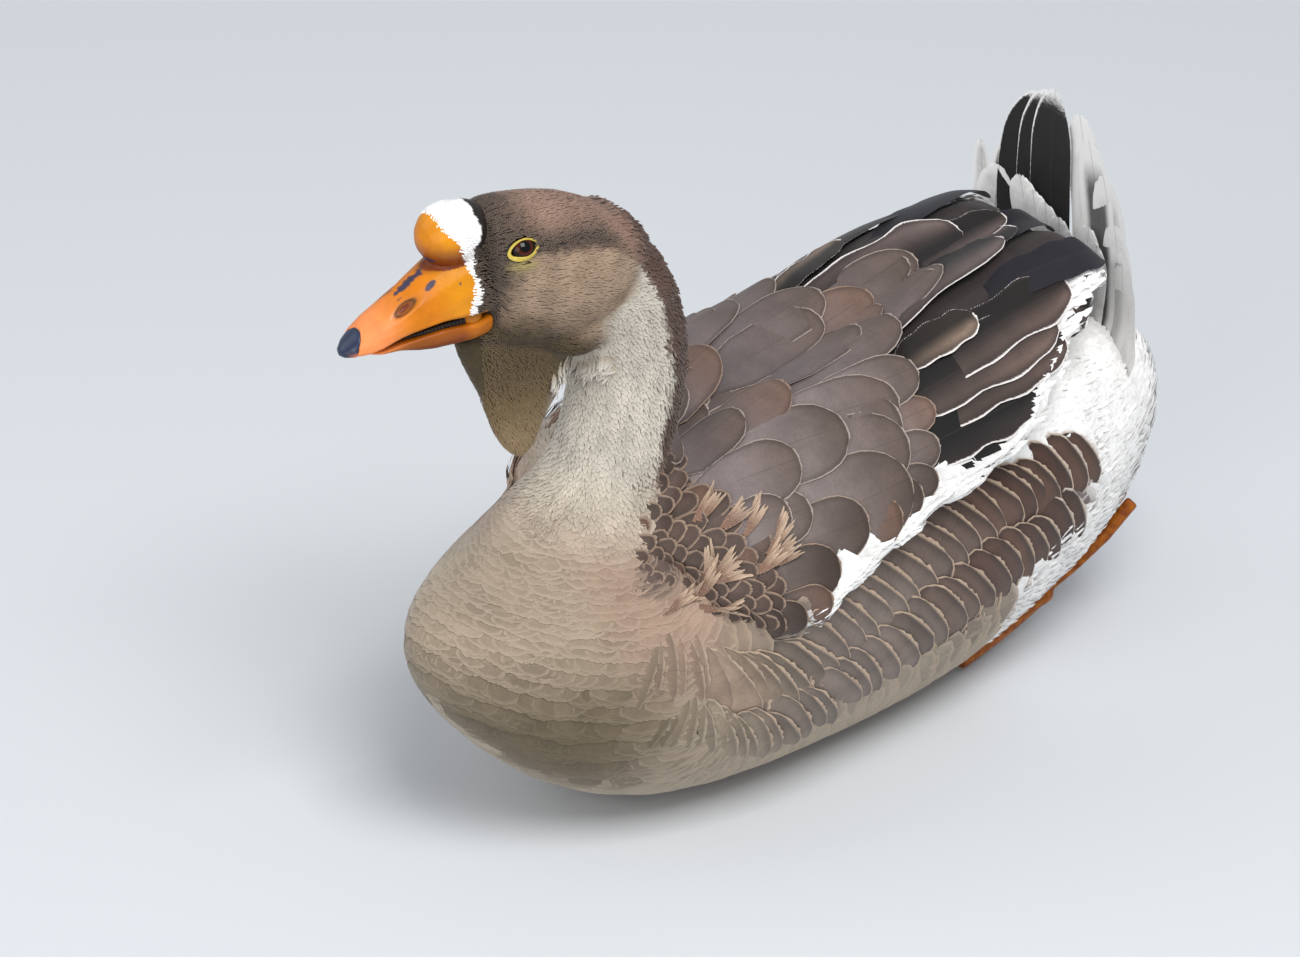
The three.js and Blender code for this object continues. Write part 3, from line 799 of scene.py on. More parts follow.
def swung(way, out, degrees):
    """Directions turned round the outward direction."""
    turn = np.radians(degrees)[..., None]
    return way * np.cos(turn) + np.cross(out, way) * np.sin(turn)


def coat_depth(p):
    """How far the skin lies inside the outline at points on it, less where it nears the floor."""
    depth = np.interp(p[..., 1], [-155, -120], [BREAST_COAT, BODY_COAT])
    depth = depth + (NECK_COAT - depth) * neck_share(p)
    depth = depth + (HEAD_COAT - depth) * head_share(p)
    near_floor = 1.0 + 0.8 * np.maximum(p[..., 2], 0)
    return np.minimum(depth, near_floor)


# ---- outer outline of the plumage, and the skin inside it ----
FLESH = ("trunk", "neck", "head", "dewlap", "wing_left", "wing_right")
JOWLS = [((side * 10.0, 2.0, -38.0), (12.0, 20.0, 16.0)) for side in (1, -1)]
outline = one_surface("outline", FLESH + ("knob", "eye_left", "eye_right"), 3.0, 6, lumps=JOWLS)
body = Surface(outline.data, 4.0, 20.0)
bpy.data.objects.remove(outline)
face_nodes = ("neck", "head", "dewlap", "knob", "bill_upper", "eye_left", "eye_right")
outline = one_surface("head_outline", face_nodes, 1.5, 6, lumps=JOWLS)
face = Surface(outline.data, 2.2, 8.0)
bpy.data.objects.remove(outline)


def eye_centres():
    return [from_head(EYE * np.array([side, 1, 1])) for side in (1, -1)]


def eye_opening(q):
    """1 on the edge of the almond-shaped eye opening, less inside it, for places in the head's frame."""
    offset = np.stack([np.abs(q[..., 0]), q[..., 1], q[..., 2]], -1) - OPENING
    rear = np.array([0.09, 0.995, 0.0])
    up = np.cross(SOCKET, rear)
    u, v = offset @ rear, offset @ up
    return np.sqrt((u / 8.3) ** 2 + ((v + 0.3) / 5.7) ** 2) + 10 * (np.abs(offset @ SOCKET) > 9)


def make_skin():
    piece = one_surface("skin", FLESH, 2.6, 5, lumps=JOWLS)
    mesh = piece.data
    p = places(mesh)
    on_face = head_share(p) > 0.5
    out = np.where(on_face[:, None], face.look(p)[1], body.look(p)[1])
    p = p - out * coat_depth(p)[:, None]
    for centre in eye_centres():
        gap = np.linalg.norm(p - centre, axis=1, keepdims=True)
        behind_eye = centre + (p - centre) / gap * np.minimum(gap, EYE_RADIUS - 0.9)
        p = np.where(gap < EYE_RADIUS + 1.5, behind_eye, p)
    p[:, 2] = np.maximum(p[:, 2], OVER_FLOOR / 2)
    put_places(mesh, p)
    shade_smooth(mesh)
    store_tones(mesh, markings(p)[0] * 0.93)
    f = Finish("skin_down", 0.9, sheen=0.2)
    fluff = f.noise(f.objects(), 420.0, 5.0, 0.7)
    level = f.step(fluff, 0.25, 0.75, 0.7, 1.15)
    tone = f.shaded(f.attribute("Base").outputs["Color"], level)
    f.bump(fluff, 0.8, 0.8)
    mesh.materials.append(f.paint(tone))
    ride(piece, FLESH)


make_skin()

# ---- plumage ----
soft_finish = feather_finish("contour_feather", 0.9, 0.14, 0.1, 0.85, 0.2, 0.75)
vane_finish = feather_finish("vaned_feather", 0.75, 0.12, 0.14, 0.6, 0.1, 0.4, barbed=True)
velvet_finish = feather_finish("velvet_feather", 0.8, 0.04, 0.1, 0.9, 0.12)
down_finish = feather_finish("white_down", 0.8, 0.12, 0.02, 0.9, 0.35)
flank_finish = feather_finish("flank_feather", 0.8, 0.14, 0.14, 0.75, 0.15, 0.5, barbed=True)


def varied(tones, amount):
    """The same colours, each a little lighter or darker."""
    return tones * np.exp(about(0, amount, tones))[:, None]


def between(low, high, points):
    """One even random draw for each point."""
    return chance.uniform(low, high, len(points))


def about(middle, spread, points):
    """One bell-shaped random draw for each point."""
    return chance.normal(middle, spread, len(points))


def combed(surface, tips, spread, lean=0.0):
    """Directions along the lie of the plumage, each a little off to one side."""
    out = surface.look(tips)[1]
    return swung(lie(tips, out), out, about(0, spread, tips) + lean)


def rearward(tips, turn_down):
    """Directions towards the tail, turned down the side by some degrees."""
    out = body.look(tips)[1]
    straight = all_over(np.array([0.0, 1.0, 0.1]), tips)
    return swung(along_surface(straight, out), out, -np.sign(tips[:, 0]) * turn_down)


def subset(batch, chosen):
    picked = {"blade": batch["blade"]}
    for key, value in batch.items():
        if key != "blade":
            picked[key] = value[chosen]
    return picked


def on_wings(p):
    """True on the folded wings, the mantle and the back between them."""
    y, z = p[:, 1], p[:, 2]
    above_rim = body_angle(p) < wing_rim(y)
    return (mantle_line(p) < 0) & (y < 196) & above_rim & (z > 104)


def on_flank(p):
    y = p[:, 1]
    turn = body_angle(p)
    low = np.interp(y, [-130, -60, 40, 120, 165], [106, 116, 120, 108, 94])
    return (y > -128) & (turn > flank_top(y)) & (turn < low) & (behind_flank(p) < 0) & ~on_wings(p)


def near_wing(p):
    """1 just below the folded wing's rim and above it, 0 further down the side."""
    return smooth(wing_rim(p[:, 1]) + 14 - body_angle(p), 0, 10)


def tufts_on(tips, way, length, low, high, colours):
    """Small loose tufts on the body."""
    return lay(TUFT, body, tips, way, length, 5.0, (low, high), colours, fray=0.6, curl=0.3)


def body_feathers():
    def wanted(p):
        elsewhere = (neck_share(p) >= 0.6) | (head_share(p) >= 0.2) | on_wings(p) | on_flank(p)
        return (p[:, 2] < 200) & ~elsewhere

    gap = lambda p: np.interp(p[:, 1], [-240, -150, -90, 60, 160, 246], [3.7, 4.0, 5.4, 6.2, 6.0, 5.0])
    tips = body.spread(gap, wanted)
    r = gap(tips)
    way = combed(body, tips, 6)
    side = smooth(tips[:, 1], -150, -100)
    tone, edge = markings(tips)
    tips = body.onto(into_rows(tips, way, 0.12))
    white = smooth(behind_flank(tips), -5, 5)
    tucked = 1.2 * near_wing(tips) * smooth(tips[:, 1], 30, 70)
    batch = lay(BAR, body, tips, way, 5.2 * r, (4.4 + 0.6 * side) * r,
                (-0.9 - 1.8 * white, between(-0.08, 0.06, tips) - tucked),
                (tone * 0.9, varied(tone, 0.02), mix(tone, edge, 0.5)), rim=1.7 + 0.9 * side,
                band=0.06 * (1 - white), fray=0.35, roll=about(0, 0.03, tips),
                curl=0.04 + 0.25 * white, side_rim=0.0)
    fluffy = (tips[:, 1] > 60) & (white > 0.3) & (tips[:, 2] > 14)
    front = tips[:, 1] < -95
    coat_piece("breast", [subset(batch, front)], soft_finish)
    coat_piece("belly", [subset(batch, ~front & ~fluffy)], soft_finish)

    wanted_down = lambda p: ~on_wings(p) & (behind_flank(p) > 2) & (p[:, 1] > 60) & (p[:, 2] > 14)
    tips = body.spread(lambda p: np.full(len(p), 3.5), wanted_down)
    way = combed(body, tips, 16)
    tone = markings(tips)[0]
    down = tufts_on(tips, way, between(16, 26, tips), -3.4, between(0.2, 1.1, tips) - 1.4 * near_wing(tips),
                    (tone * 0.98, varied(tone, 0.02), tone))
    facing_rear = body.look(tips)[1] @ unit(np.array([0, 1, 1.2]))
    pole = tips[np.argsort(facing_rear)[-6:]].mean(0)
    whorl = body.onto(pole + chance.normal(0, 5, (110, 3)))
    white = varied(all_over(WHITE, whorl), 0.02)
    every_way = unit(np.cross(body.look(whorl)[1], chance.normal(0, 1, whorl.shape)))
    swirl = tufts_on(whorl, every_way, 16, -2.4, between(0.1, 0.8, whorl), (white * 0.96, white, white))
    coat_piece("stern_down", [subset(batch, fluffy), down, swirl], down_finish)


def flank_rows(side):
    """Two lanes of broad feathers along the upper edge of one flank."""
    stations = [-150.0]
    while stations[-1] < 150:
        step = np.interp(stations[-1], [-150, -110, -60, 0, 120], [5.5, 6.5, 8.5, 11, 12])
        stations.append(stations[-1] + step)
    for lane, spread in enumerate((11, 36)):
        y = np.array(stations) + 5 * lane + about(0, 1.0, stations)
        front = smooth(-y, 70, 115)
        top = np.interp(y, [-150, -135, -120] + FLANK_TOP_Y[1:], [66, 66, 67] + FLANK_TOP[1:])
        angle = top - 2 * smooth(y, 0, 60) - 5 * smooth(y, 50, 100) + spread + 4 * front + about(0, 1.0, y)
        tips = body.at_angle(y, side * angle)
        near = (behind_flank(tips) < 2) & (mantle_line(tips) < 30)
        tips, y, front = tips[near], y[near], front[near]
        tone, edge = markings(tips - np.array([0, 14, 0]))
        rear = smooth(y, -20, 70)
        tone = varied(mix(tone, WARM * 0.8, 0.6 * chance.random(len(y)) * rear), 0.1)
        width = np.interp(y, [-150, -100, -50, 60, 150], [54, 58, 62, 58, 46]) * between(0.95, 1.06, y)
        up = np.interp(y, [-155, -140, -122, -100, -60, 0, 100, 145], [35, 18, -4, -24, -38, -42, -38, -22])
        yield lay(BROAD, body, tips, rearward(tips, up + 6 * lane + about(0, 3, y)),
                  np.interp(y, [-150, -60], [34, 48]), width,
                  (-3.6, 0.2 + 0.5 * (1 - front) + between(0, 0.5, y)),
                  (tone, tone * (0.86 + 0.08 * front)[:, None], varied(edge, 0.05)),
                  rim=between(1.2, 2.0, y) * (1 - 0.2 * front),
                  band=0.5 * (1 - front) * (0.4 + 0.6 * rear) + 0.2, droop=0.015, fray=0.45,
                  roll=-side * 0.15, curl=0.8 * (1 - front) + 0.2, wave=0.015)


def low_flank(side):
    """Plainer feathers low on one flank, under the rows."""
    wanted = lambda p: on_flank(p) & (body_angle(p) > 100) & (p[:, 0] * side > 0)
    tips = body.spread(lambda p: np.full(len(p), 12.0), wanted)
    tone, edge = markings(tips)
    return lay(ROUND, body, tips, rearward(tips, about(0, 6, tips)), 36, 32,
               (-3.6, between(-1.0, -0.2, tips)), (tone, tone * 0.85, edge),
               rim=2.0, band=0.3, fray=0.6, curl=0.4)


def white_strip(side):
    """Three lines of white tufts between one folded wing and the flank's rows."""
    for share in (0.02, 0.3, 0.58):
        y = np.linspace(-58, 128, 150) + chance.normal(0, 2.0, 150)
        rim, top = wing_rim(y) + 1.0, flank_top(y) + 1.0
        points = body.at_angle(y, side * (rim + (top - rim) * share))
        way = rearward(points, about(-6, 8, points))
        white = all_over(WHITE, points)
        high = between(0.1, 0.8, points)
        yield tufts_on(points, way, 24, -2.4, high, (white * 0.95, varied(white, 0.02), white))


def flank_feathers():
    batches, strip = [], []
    for side in (1, -1):
        batches += [*flank_rows(side), low_flank(side)]
        strip += white_strip(side)
    coat_piece("flanks", batches, flank_finish)
    coat_piece("white_strips", strip, down_finish)


def in_halves(name, batch, finish, slot, more=()):
    """Two pieces of one large batch, with any further batches in the first of them."""
    half = len(batch["points"]) // 2
    coat_piece(f"{name}_a", [subset(batch, slice(0, half)), *more], finish, layout=slot)
    coat_piece(f"{name}_b", [subset(batch, slice(half, None))], finish, layout=slot)


def neck_feathers():
    wanted = lambda p: (neck_share(p) > 0.4) & (head_share(p) < 0.7) & (p[:, 2] > 140)
    gap = lambda p: np.interp(p[:, 2], [150, 200, 300], [2.2, 1.7, 1.45])
    tips = body.spread(gap, wanted)
    r = gap(tips)
    tone, edge = markings(tips)
    x, y, z = tips.T
    round_neck = np.arctan2(x, y - neck_line(z))
    furrow = np.sin(round_neck * 14 + 0.03 * z * np.sign(x) + 1.5 * ripple(tips, 40.0))
    # Painted shade: tufts in the furrows' troughs, which lie lower, are darker.
    tone = mix(tone, tone * 0.9, 0.5 - 0.5 * furrow)
    way = combed(body, tips, 10, 12 * np.sign(x))
    dark = dark_share(tips)
    fringe = dark * smooth(50 - neck_angle(tips), -10, 20)
    lift = 0.1 * furrow + between(0, 0.2, tips) + 0.4 * dark + 1.6 * fringe * chance.random(len(tips))
    batch = lay(TUFT, body, tips, way, (5.2 + 1.6 * dark) * r, 1.9 * r, (-1.2, lift),
                (tone * 0.95, varied(tone, 0.04 + 0.06 * dark), edge), fray=0.45, curl=0.15 + 0.6 * fringe)
    in_halves("neck_feathers", batch, soft_finish, "neck")


def band_edges(q):
    """Stations, in the head's frame, where the white band round the bill starts and where black follows."""
    z = q[..., 2]
    uneven = 0.8 * ripple(q, 5.0) + 0.5 * ripple(q, 2.2, 1.0)
    on_knob = np.interp(z, [24, 27, 32, 37, 41, 45, 49], [-56, -58.2, -59.6, -61.5, -65, -66, -66])
    on_bill = np.interp(z, [-2, 0, 4, 8, 13, 18, 24], [-60, -59, -57, -55.3, -54.8, -56, -56])
    start = np.where(z > 24, on_knob, on_bill) + 0.5 * uneven
    end = np.interp(z, [-2, 0, 2, 7, 13, 18, 20, 23, 28, 31, 36, 42, 50],
                    [-56, -54.5, -53, -51.5, -51.8, -53.8, -50.5, -51, -51.8, -49, -46.5, -47.5, -47])
    return start, end + uneven


def head_velvet():
    def wanted(p):
        q = to_head(p)
        y, z = q[:, 1], q[:, 2]
        above_gape = (z > -4) | (y > -51)
        clear_of_eye = (eye_opening(q) > 1.0) & (eye_opening(q - np.array([0, 2.6, 0])) > 0.92)
        return (head_share(p) > 0.3) & (y > band_edges(q)[0]) & clear_of_eye & (z > -118) & above_gape

    tips = face.spread(lambda p: np.full(len(p), 0.98), wanted)
    q = to_head(tips)
    y, z = q.T[1:]
    tone, edge = markings(tips)
    end = band_edges(q)[1]
    band = (y < end) & (z > -4)
    behind = smooth(end + 5 - y, -2.5, 2.5) * smooth(z, -16, -8)
    tone = mix(tone, BLACK_BROWN, 0.95 * behind)
    tone[band] = WHITE
    edge[band] = WHITE
    way = combed(face, tips, 11)
    length = np.where(y < -43, 2.3, 3.6) + 1.4 * smooth(-z, 50, 90)
    proud = 0.7 * smooth(-y, 43, 47) * smooth(z, -12, -6)
    speckle = 0.07 + 0.05 * dark_share(tips) * ~band
    batch = lay(VELVET, face, tips, way, length * between(0.8, 1.2, tips), 1.05,
                (proud - 0.35 - 0.6 * band, proud + between(0.02, 0.22, tips)),
                (tone * 0.97, varied(tone, speckle), edge), curl=0.05)
    in_halves("head_velvet", batch, velvet_finish, "head", [pale_fringe(220)])


def pale_fringe(count):
    """Long pale tufts that hang from the fold between the dewlap and the neck."""
    fold = body.onto(FOLD[chance.integers(0, len(FOLD), count)] + chance.normal(0, 1.5, (count, 3)))
    out = body.look(fold)[1]
    cream = varied(all_over(mix(CREAM, WHITE, 0.2), fold), 0.06)
    hang = all_over(np.array([-0.15, -0.5, -0.85]), fold)
    return lay(TUFT, body, fold, swung(hang, out, about(0, 18, fold)), between(9, 13, fold), 1.8,
               (-0.8, between(0.5, 2.4, fold)), (mix(cream, DEWLAP_TIP, 0.6), cream, cream),
               fray=0.5, curl=0.7)


# Large feathers of a folded wing by their tips: station, angle round the body, width, length, turn down,
# and for the tertials and primaries the height that they lie at.
LARGE_SCAPULARS = [
    (-84, 74, 24, 36, 0), (-72, 74, 26, 40, 0), (-57, 72, 26, 42, 0), (-50, 64, 32, 52, 6),
    (-28, 56, 36, 60, 6), (-64, 46, 28, 46, 8), (-54, 48, 30, 52, 10), (-8, 58, 30, 54, 4),
    (8, 55, 26, 50, 4), (20, 53, 22, 46, 4), (99, -4, 36, 96, 0), (96, 5, 38, 96, 0),
    (67, -3, 34, 84, 0), (56, 12, 38, 84, 0), (36, -6, 36, 80, 0), (28, 46, 24, 52, 4),
    (40, 28, 34, 74, 10), (36, 38, 24, 60, 6), (16, 36, 42, 80, 10), (12, 42, 46, 84, 8),
    (3, 51, 52, 92, 2), (21, 32, 46, 92, 14), (-20, 14, 42, 72, 6), (-48, 14, 38, 62, 10),
    (-82, 10, 30, 46, 6), (-46, 36, 38, 62, 16), (-15, 34, 46, 84, 16),
]
TERTIALS = [
    (60, 54, 26, 72, 2, -1.3), (78, 51, 28, 84, 2, -0.8), (100, 44, 30, 100, 2, -0.3),
    (128, 35.5, 30, 112, 0, 0.2), (127, 31, 34, 122, 0, 0.7), (146, 25, 30, 122, -2, 1.1),
    (193, 14, 36, 150, -3, 1.5), (86, 23, 21, 56, 0, 2.6), (160, -3, 26, 96, 0, 2.4),
    (141, 5, 38, 122, -2, 2.8),
]
PRIMARIES = [
    (182, 19, 24, 90, 0, 1.2), (190, 0, 26, 96, 0, 1.6), (194, 11, 28, 104, 0, 1.9),
    (193, 6, 28, 104, 0, 2.3),
]
# Places of frayed tan tips on the front coverts: station, angle round the body, turn upwards.
FRAYED = [
    (-82, 40, 10), (-75, 41, 30), (-68, 48, 30), (-70, 55, 10), (-78, 54, 20), (-98, 56, -10),
    (-109, 52, 30), (-108, 47, 50), (-89, 32, 20), (-118, 57, 10), (-104, 66, 0), (-99, 51, 20),
]


def on_side(table, side):
    """Tips of a table's feathers on one side (the right side's are moved a little at random) and its rows."""
    rows = np.array(table, float)
    jitter = 0 if side > 0 else 1
    tips = body.at_angle(rows[:, 0] + jitter * chance.normal(0, 4, len(rows)), side * rows[:, 1])
    return tips, rows


def small_coverts():
    """The feathers that fill the wings and the mantle: small ones in front, larger ones behind."""
    gap = lambda p: (np.interp(p[:, 1], [-130, -100, -75, -50, -20, 20, 110], [6.0, 7.5, 11, 17, 24, 28, 28])
                     * np.interp(body_angle(p), [0, 30, 60, 80], [0.9, 1.0, 0.85, 0.7]))
    wanted = lambda p: on_wings(p) & (p[:, 1] < 180) & ((p[:, 1] < 24) | (body_angle(p) < 26))
    tips = body.spread(gap, wanted)
    r = gap(tips)
    x, y = tips.T[:2]
    angle = body_angle(tips)
    turn = np.interp(angle, [0, 25, 50, 80], [0, 16, 12, 20]) * smooth(-y, -60, 40)
    way = rearward(tips, turn + about(0, 7, tips))
    small = smooth(-y, 40, 80)
    low = smooth(angle, 45, 60)
    back = smooth(-angle, -28, -12) + smooth(-x, 0, 10)
    root = mix(mix(mix(SCAPULAR, BACK_GREY, np.minimum(back, 1)), COVERT, 0.5 * low), COVERT, small)
    tip = mix(mix(SCAPULAR_TIP, COVERT_TIP, low), SMALL_COVERT, small)
    warm = (chance.random(len(tips)) < 0.2)[:, None]
    root, tip = np.where(warm, mix(root, WARM, 0.6), root), np.where(warm, mix(tip, WARM, 0.6), tip)
    rim_tone = mix(mix(PALE_RIM, WARM_RIM, low), mix(WARM_RIM, SMALL_COVERT, 0.35), small)
    # Painted shade: coverts towards the rear, under the tertials and long scapulars, turn to the lower
    # tertials' dark brown, darkened further.
    under = smooth(y, 20, 70)
    root, tip, rim_tone = (mix(part, LOW_TERTIAL * 0.8, under) for part in (root, tip, rim_tone))
    return lay(ROUND, body, tips, way, 2.3 * r + 20, 1.9 * r,
               (-4.6, between(-2.8, -2.2, tips) + 3.1 * smooth(-y, 66, 92)),
               (varied(root, 0.08), varied(tip, 0.1), varied(rim_tone, 0.06)),
               rim=np.interp(r, [6, 24], [1.5, 0.8]), band=0.4 - 0.1 * small, droop=0.02, fray=0.3,
               roll=-np.sign(x) * 0.3, curl=0.5)


def large_scapulars(side):
    """The large round feathers over one wing; the ones high on the back soon reach their full height."""
    tips, rows = on_side(LARGE_SCAPULARS, side)
    y, angle, width, length, turn_down = rows.T
    low = smooth(angle, 44, 62)
    back = np.maximum(smooth(-angle, -28, -12), 0.7 * (side < 0))
    warm = np.arange(len(rows)) % 5 == 2
    root = varied(mix(mix(SCAPULAR, BACK_GREY, back), COVERT, 0.8 * low), 0.06)
    tip = mix(varied(mix(SCAPULAR_TIP, COVERT_TIP, low), 0.06), WARM, 0.5 * warm)
    rim_tone = mix(PALE_RIM, WARM_RIM, np.maximum(low, warm))
    order = np.arange(len(rows)) / len(rows)
    over = (y > 34) & (angle < 34)
    high = np.where(over, np.interp(y, [36, 60, 98], [4.5, 4.2, 3.6]), 0.9 + 2.2 * order)
    settle = np.where(over & (y > 45), np.interp(y, [60, 98], [0.85, 0.7]), 0)
    return lay(ROUND, body, tips, rearward(tips, turn_down), length, width, (-3.4, high),
               (root, tip, mix(rim_tone, tip, 0.25)), rim=0.9, band=0.45, droop=0.02, fray=0.3,
               roll=-side * 0.4, curl=0.6, side_rim=0.5, settle=settle)


def frayed_tips(side):
    """Fans of narrow tan tufts on the front coverts of one wing."""
    blades = 9
    y, angle, turn_up = np.repeat(np.array(FRAYED, float), blades, axis=0).T
    fan = np.tile(np.linspace(-1, 1, blades), len(FRAYED))
    stations = y + 2.5 * fan * fan + about(0, 1.0, y)
    tips = body.at_angle(stations, side * (angle + 2.6 * fan + about(0, 0.3, y)))
    tan = all_over(TAN, tips)
    return lay(TUFT, body, tips, rearward(tips, 12 * fan - turn_up), between(14, 20, y), between(2.0, 2.8, y),
               (0.3, between(1.4, 2.2, y)), (WARM * 0.9, varied(tan, 0.1), tan), fray=0.8, curl=0.6)


def quills(table, side, tones, **shape):
    """Long feathers of one wing, each at its own height."""
    tips, rows = on_side(table, side)
    width, length, turn_down, high = rows.T[2:]
    return lay(QUILL, body, tips, rearward(tips, turn_down), length, width, (-3.6, high - 0.2 * (side < 0)),
               tones(rows), fray=0.3, roll=side * 0.5, settle=0.4, **shape)


def tertial_tones(rows):
    low = smooth(rows[:, 1], 33, 42)
    tone = varied(mix(mix(TERTIAL, BACK_GREY, 0.6 * (rows[:, 1] < 8)), LOW_TERTIAL, low), 0.06)
    tone = mix(tone, WARM_RIM, rows[:, 3] < 60)
    return tone * 0.4, tone * 0.9, WHITE_RIM


def primary_tones(rows):
    coal = varied(np.tile(COAL, (len(rows), 1)), 0.1)
    return coal * 0.7, coal, coal * 1.8


def wing_feathers():
    batches = [small_coverts()]
    for side in (1, -1):
        batches += [large_scapulars(side), frayed_tips(side)]
    coat_piece("wing_coverts_and_scapulars", batches, vane_finish, layout="grid")
    batches = []
    for side in (1, -1):
        # The tertials' uphill halves are darkened: partly dark inner vanes, partly painted shade between
        # overlapping tertials.
        batches.append(quills(TERTIALS, side, tertial_tones, rim=1.1, band=0.7, curl=0.2, stiff=0.2,
                              split=0.93, wave=0.09, one_sided=0.95))
        batches.append(quills(PRIMARIES, side, primary_tones, rim=0.4, curl=0.4, stiff=0.3, wave=0.05))
    coat_piece("tertials_and_primaries", batches, vane_finish, layout="grid")


body_feathers()
flank_feathers()
neck_feathers()
head_velvet()
wing_feathers()

# ---- tail ----
TAIL_ROOT = np.array([0.0, 201.0, 150.0])


FAN_HALF = 57.0                 # half the width of the tail's fan
FAN_HOLLOW = 8.0                # how far its sides come forward
FAN_LEAN = 0.04                 # how far it leans forward for each step upwards


class Fan:
    """The cocked tail's hollow fan, used as the surface that the tail feathers lie on."""

    def look(self, p):
        x, y, z = p[..., 0], p[..., 1], p[..., 2]
        out = np.zeros_like(p)
        out[..., 1] = -1
        out[..., 0] = 2 * FAN_HOLLOW * x / FAN_HALF ** 2
        front = TAIL_ROOT[1] - FAN_HOLLOW * (x / FAN_HALF) ** 2 - FAN_LEAN * (z - TAIL_ROOT[2])
        return front - y, unit(out)

    def onto(self, p, times=1):
        """The nearest points of the fan straight behind or in front, found in one go whatever times says."""
        p = p.copy()
        p[..., 1] += self.look(p)[0]
        return p


# Tail feathers from back to front: the tip's place across and its height over the root, lean towards +X at
# the tip, width, length, darkness of the middle, white edge, how many times wider at the tip, distance in
# front of the fan.
RECTRICES = [
    (-54, 100, 0.0, 12, 84, 0.3, 3.0, 2.0, 0.4), (53, 66, 0.0, 26, 70, 0.0, 3.0, 2.0, 0.3),
    (-53, 66, 0.0, 26, 70, 0.0, 3.0, 2.0, 0.3), (45, 88, -0.2, 28, 92, 0.0, 4.0, 2.0, 0.7),
    (-42, 88, 0.2, 26, 92, 0.2, 4.0, 2.0, 0.7), (35, 112, -0.3, 30, 116, 0.3, 8.5, 2.5, 1.2),
    (-27, 112, 0.35, 28, 114, 0.9, 3.0, 2.0, 1.2), (23, 128, -0.25, 28, 134, 0.85, 7.0, 3.4, 1.8),
    (-12, 140, 0.42, 35, 144, 1.0, 0.6, 9.0, 2.1), (15, 140, -0.2, 28, 146, 0.0, 6.0, 4.0, 1.5),
    (-6, 145, 0.2, 34, 150, 1.0, 0.6, 12.0, 3.0), (-1, 148, 0.12, 30, 152, 1.0, 0.6, 14.0, 3.6),
]
# White coverts in front of them by their tips: the place across and the height over the root, back to front.
TAIL_COVERTS = [
    (-24, 62), (-14, 60), (-4, 58), (6, 54), (14, 48), (32, 56), (24, 64), (34, 72), (27, 80), (-24, 90),
    (20, 60), (-15, 84), (12, 70), (-6, 80), (4, 76),
]


def in_fan(across, up):
    return np.stack([across, 0 * across, up], -1)


def tail_feathers():
    fan = Fan()
    across, up, lean, width, length, dark, white_edge, tip_rim, forward = np.array(RECTRICES, float).T
    tips = fan.onto(TAIL_ROOT + in_fan(across, up))
    tone = mix(WHITE, varied(all_over(DARK, tips), 0.1), dark)
    tones = (tone * (0.96 - 0.3 * dark[:, None]), tone, WHITE)
    broad = lay(QUILL, fan, tips, unit(in_fan(lean, 1 + 0 * up)), length, width, (forward, forward + 1.2),
                tones, rim=white_edge, fray=0.5, roll=-np.sign(across) * 0.4, curl=0.8, sweep=-1.9 * lean,
                tip_rim=tip_rim, side_rim=np.where(white_edge < 1, 0.0, 1.0))
    across, up = np.array(TAIL_COVERTS, float).T
    tips = fan.onto(TAIL_ROOT + in_fan(across, up))
    white = varied(all_over(WHITE, tips), 0.03)
    high = 5.6 + 0.14 * np.arange(len(up))
    covers = lay(ROUND, fan, tips, unit(in_fan(across * 0.4, up)), 58, 21, (3.6, high),
                 (white * 0.96, white, white), droop=0.04, fray=0.5, curl=0.8)
    coat_piece("tail_feathers", [broad, covers], vane_finish, ("tail",), layout="grid")


tail_feathers()


# ---- bill, knob, nail ----
ORANGE, DEEP_ORANGE, YELLOW_ORANGE, PINK_ORANGE = colours("#cb7403", "#7a3403", "#d98f06", "#ec8c50")
# The mouth's near-black is painted shade in the gap between the bill's halves; the combs stand for the
# lamellae.
BLUE_BLACK, BLOTCH, COMB, MOUTH_SHADE, NOSTRIL_RED = colours("#28324a", "#33344b", "#3a2f2a", "#0e0b0b", "#6e3220")
NOSTRIL_Y, NOSTRIL_Z = -90.5, 8.4               # the nostrils' middle, in the head's frame
NOSTRIL_WAY = (0.917, 0.399)                    # backwards and upwards along them


def painted(piece, tones, finish_name, roughness, stands_for, grain=900.0, depth=0.12, coat=0.0):
    mesh = piece.data
    store_tones(mesh, tones)
    f = Finish(finish_name, roughness, specular=0.3, coat=coat)
    objects = f.objects()
    fine = f.noise(objects, grain, 4.0, 0.6)
    broad = f.noise(objects, 110.0, 3.0)
    level = f.product(f.step(fine, 0.2, 0.8, 0.93, 1.05), f.step(broad, 0.25, 0.75, 0.9, 1.08))
    tone = f.shaded(f.attribute("Base").outputs["Color"], level)
    f.bump(f.plus(fine, f.product(broad, 1.5)), 0.35, depth)
    shade_smooth(mesh)
    mesh.materials.append(f.paint(tone))
    ride(piece, stands_for)


def mouth_arch(y):
    """1 in the middle of the gap between the two halves of the bill, 0 at both of its ends."""
    return np.exp(-((y + 84) / 20) ** 4)


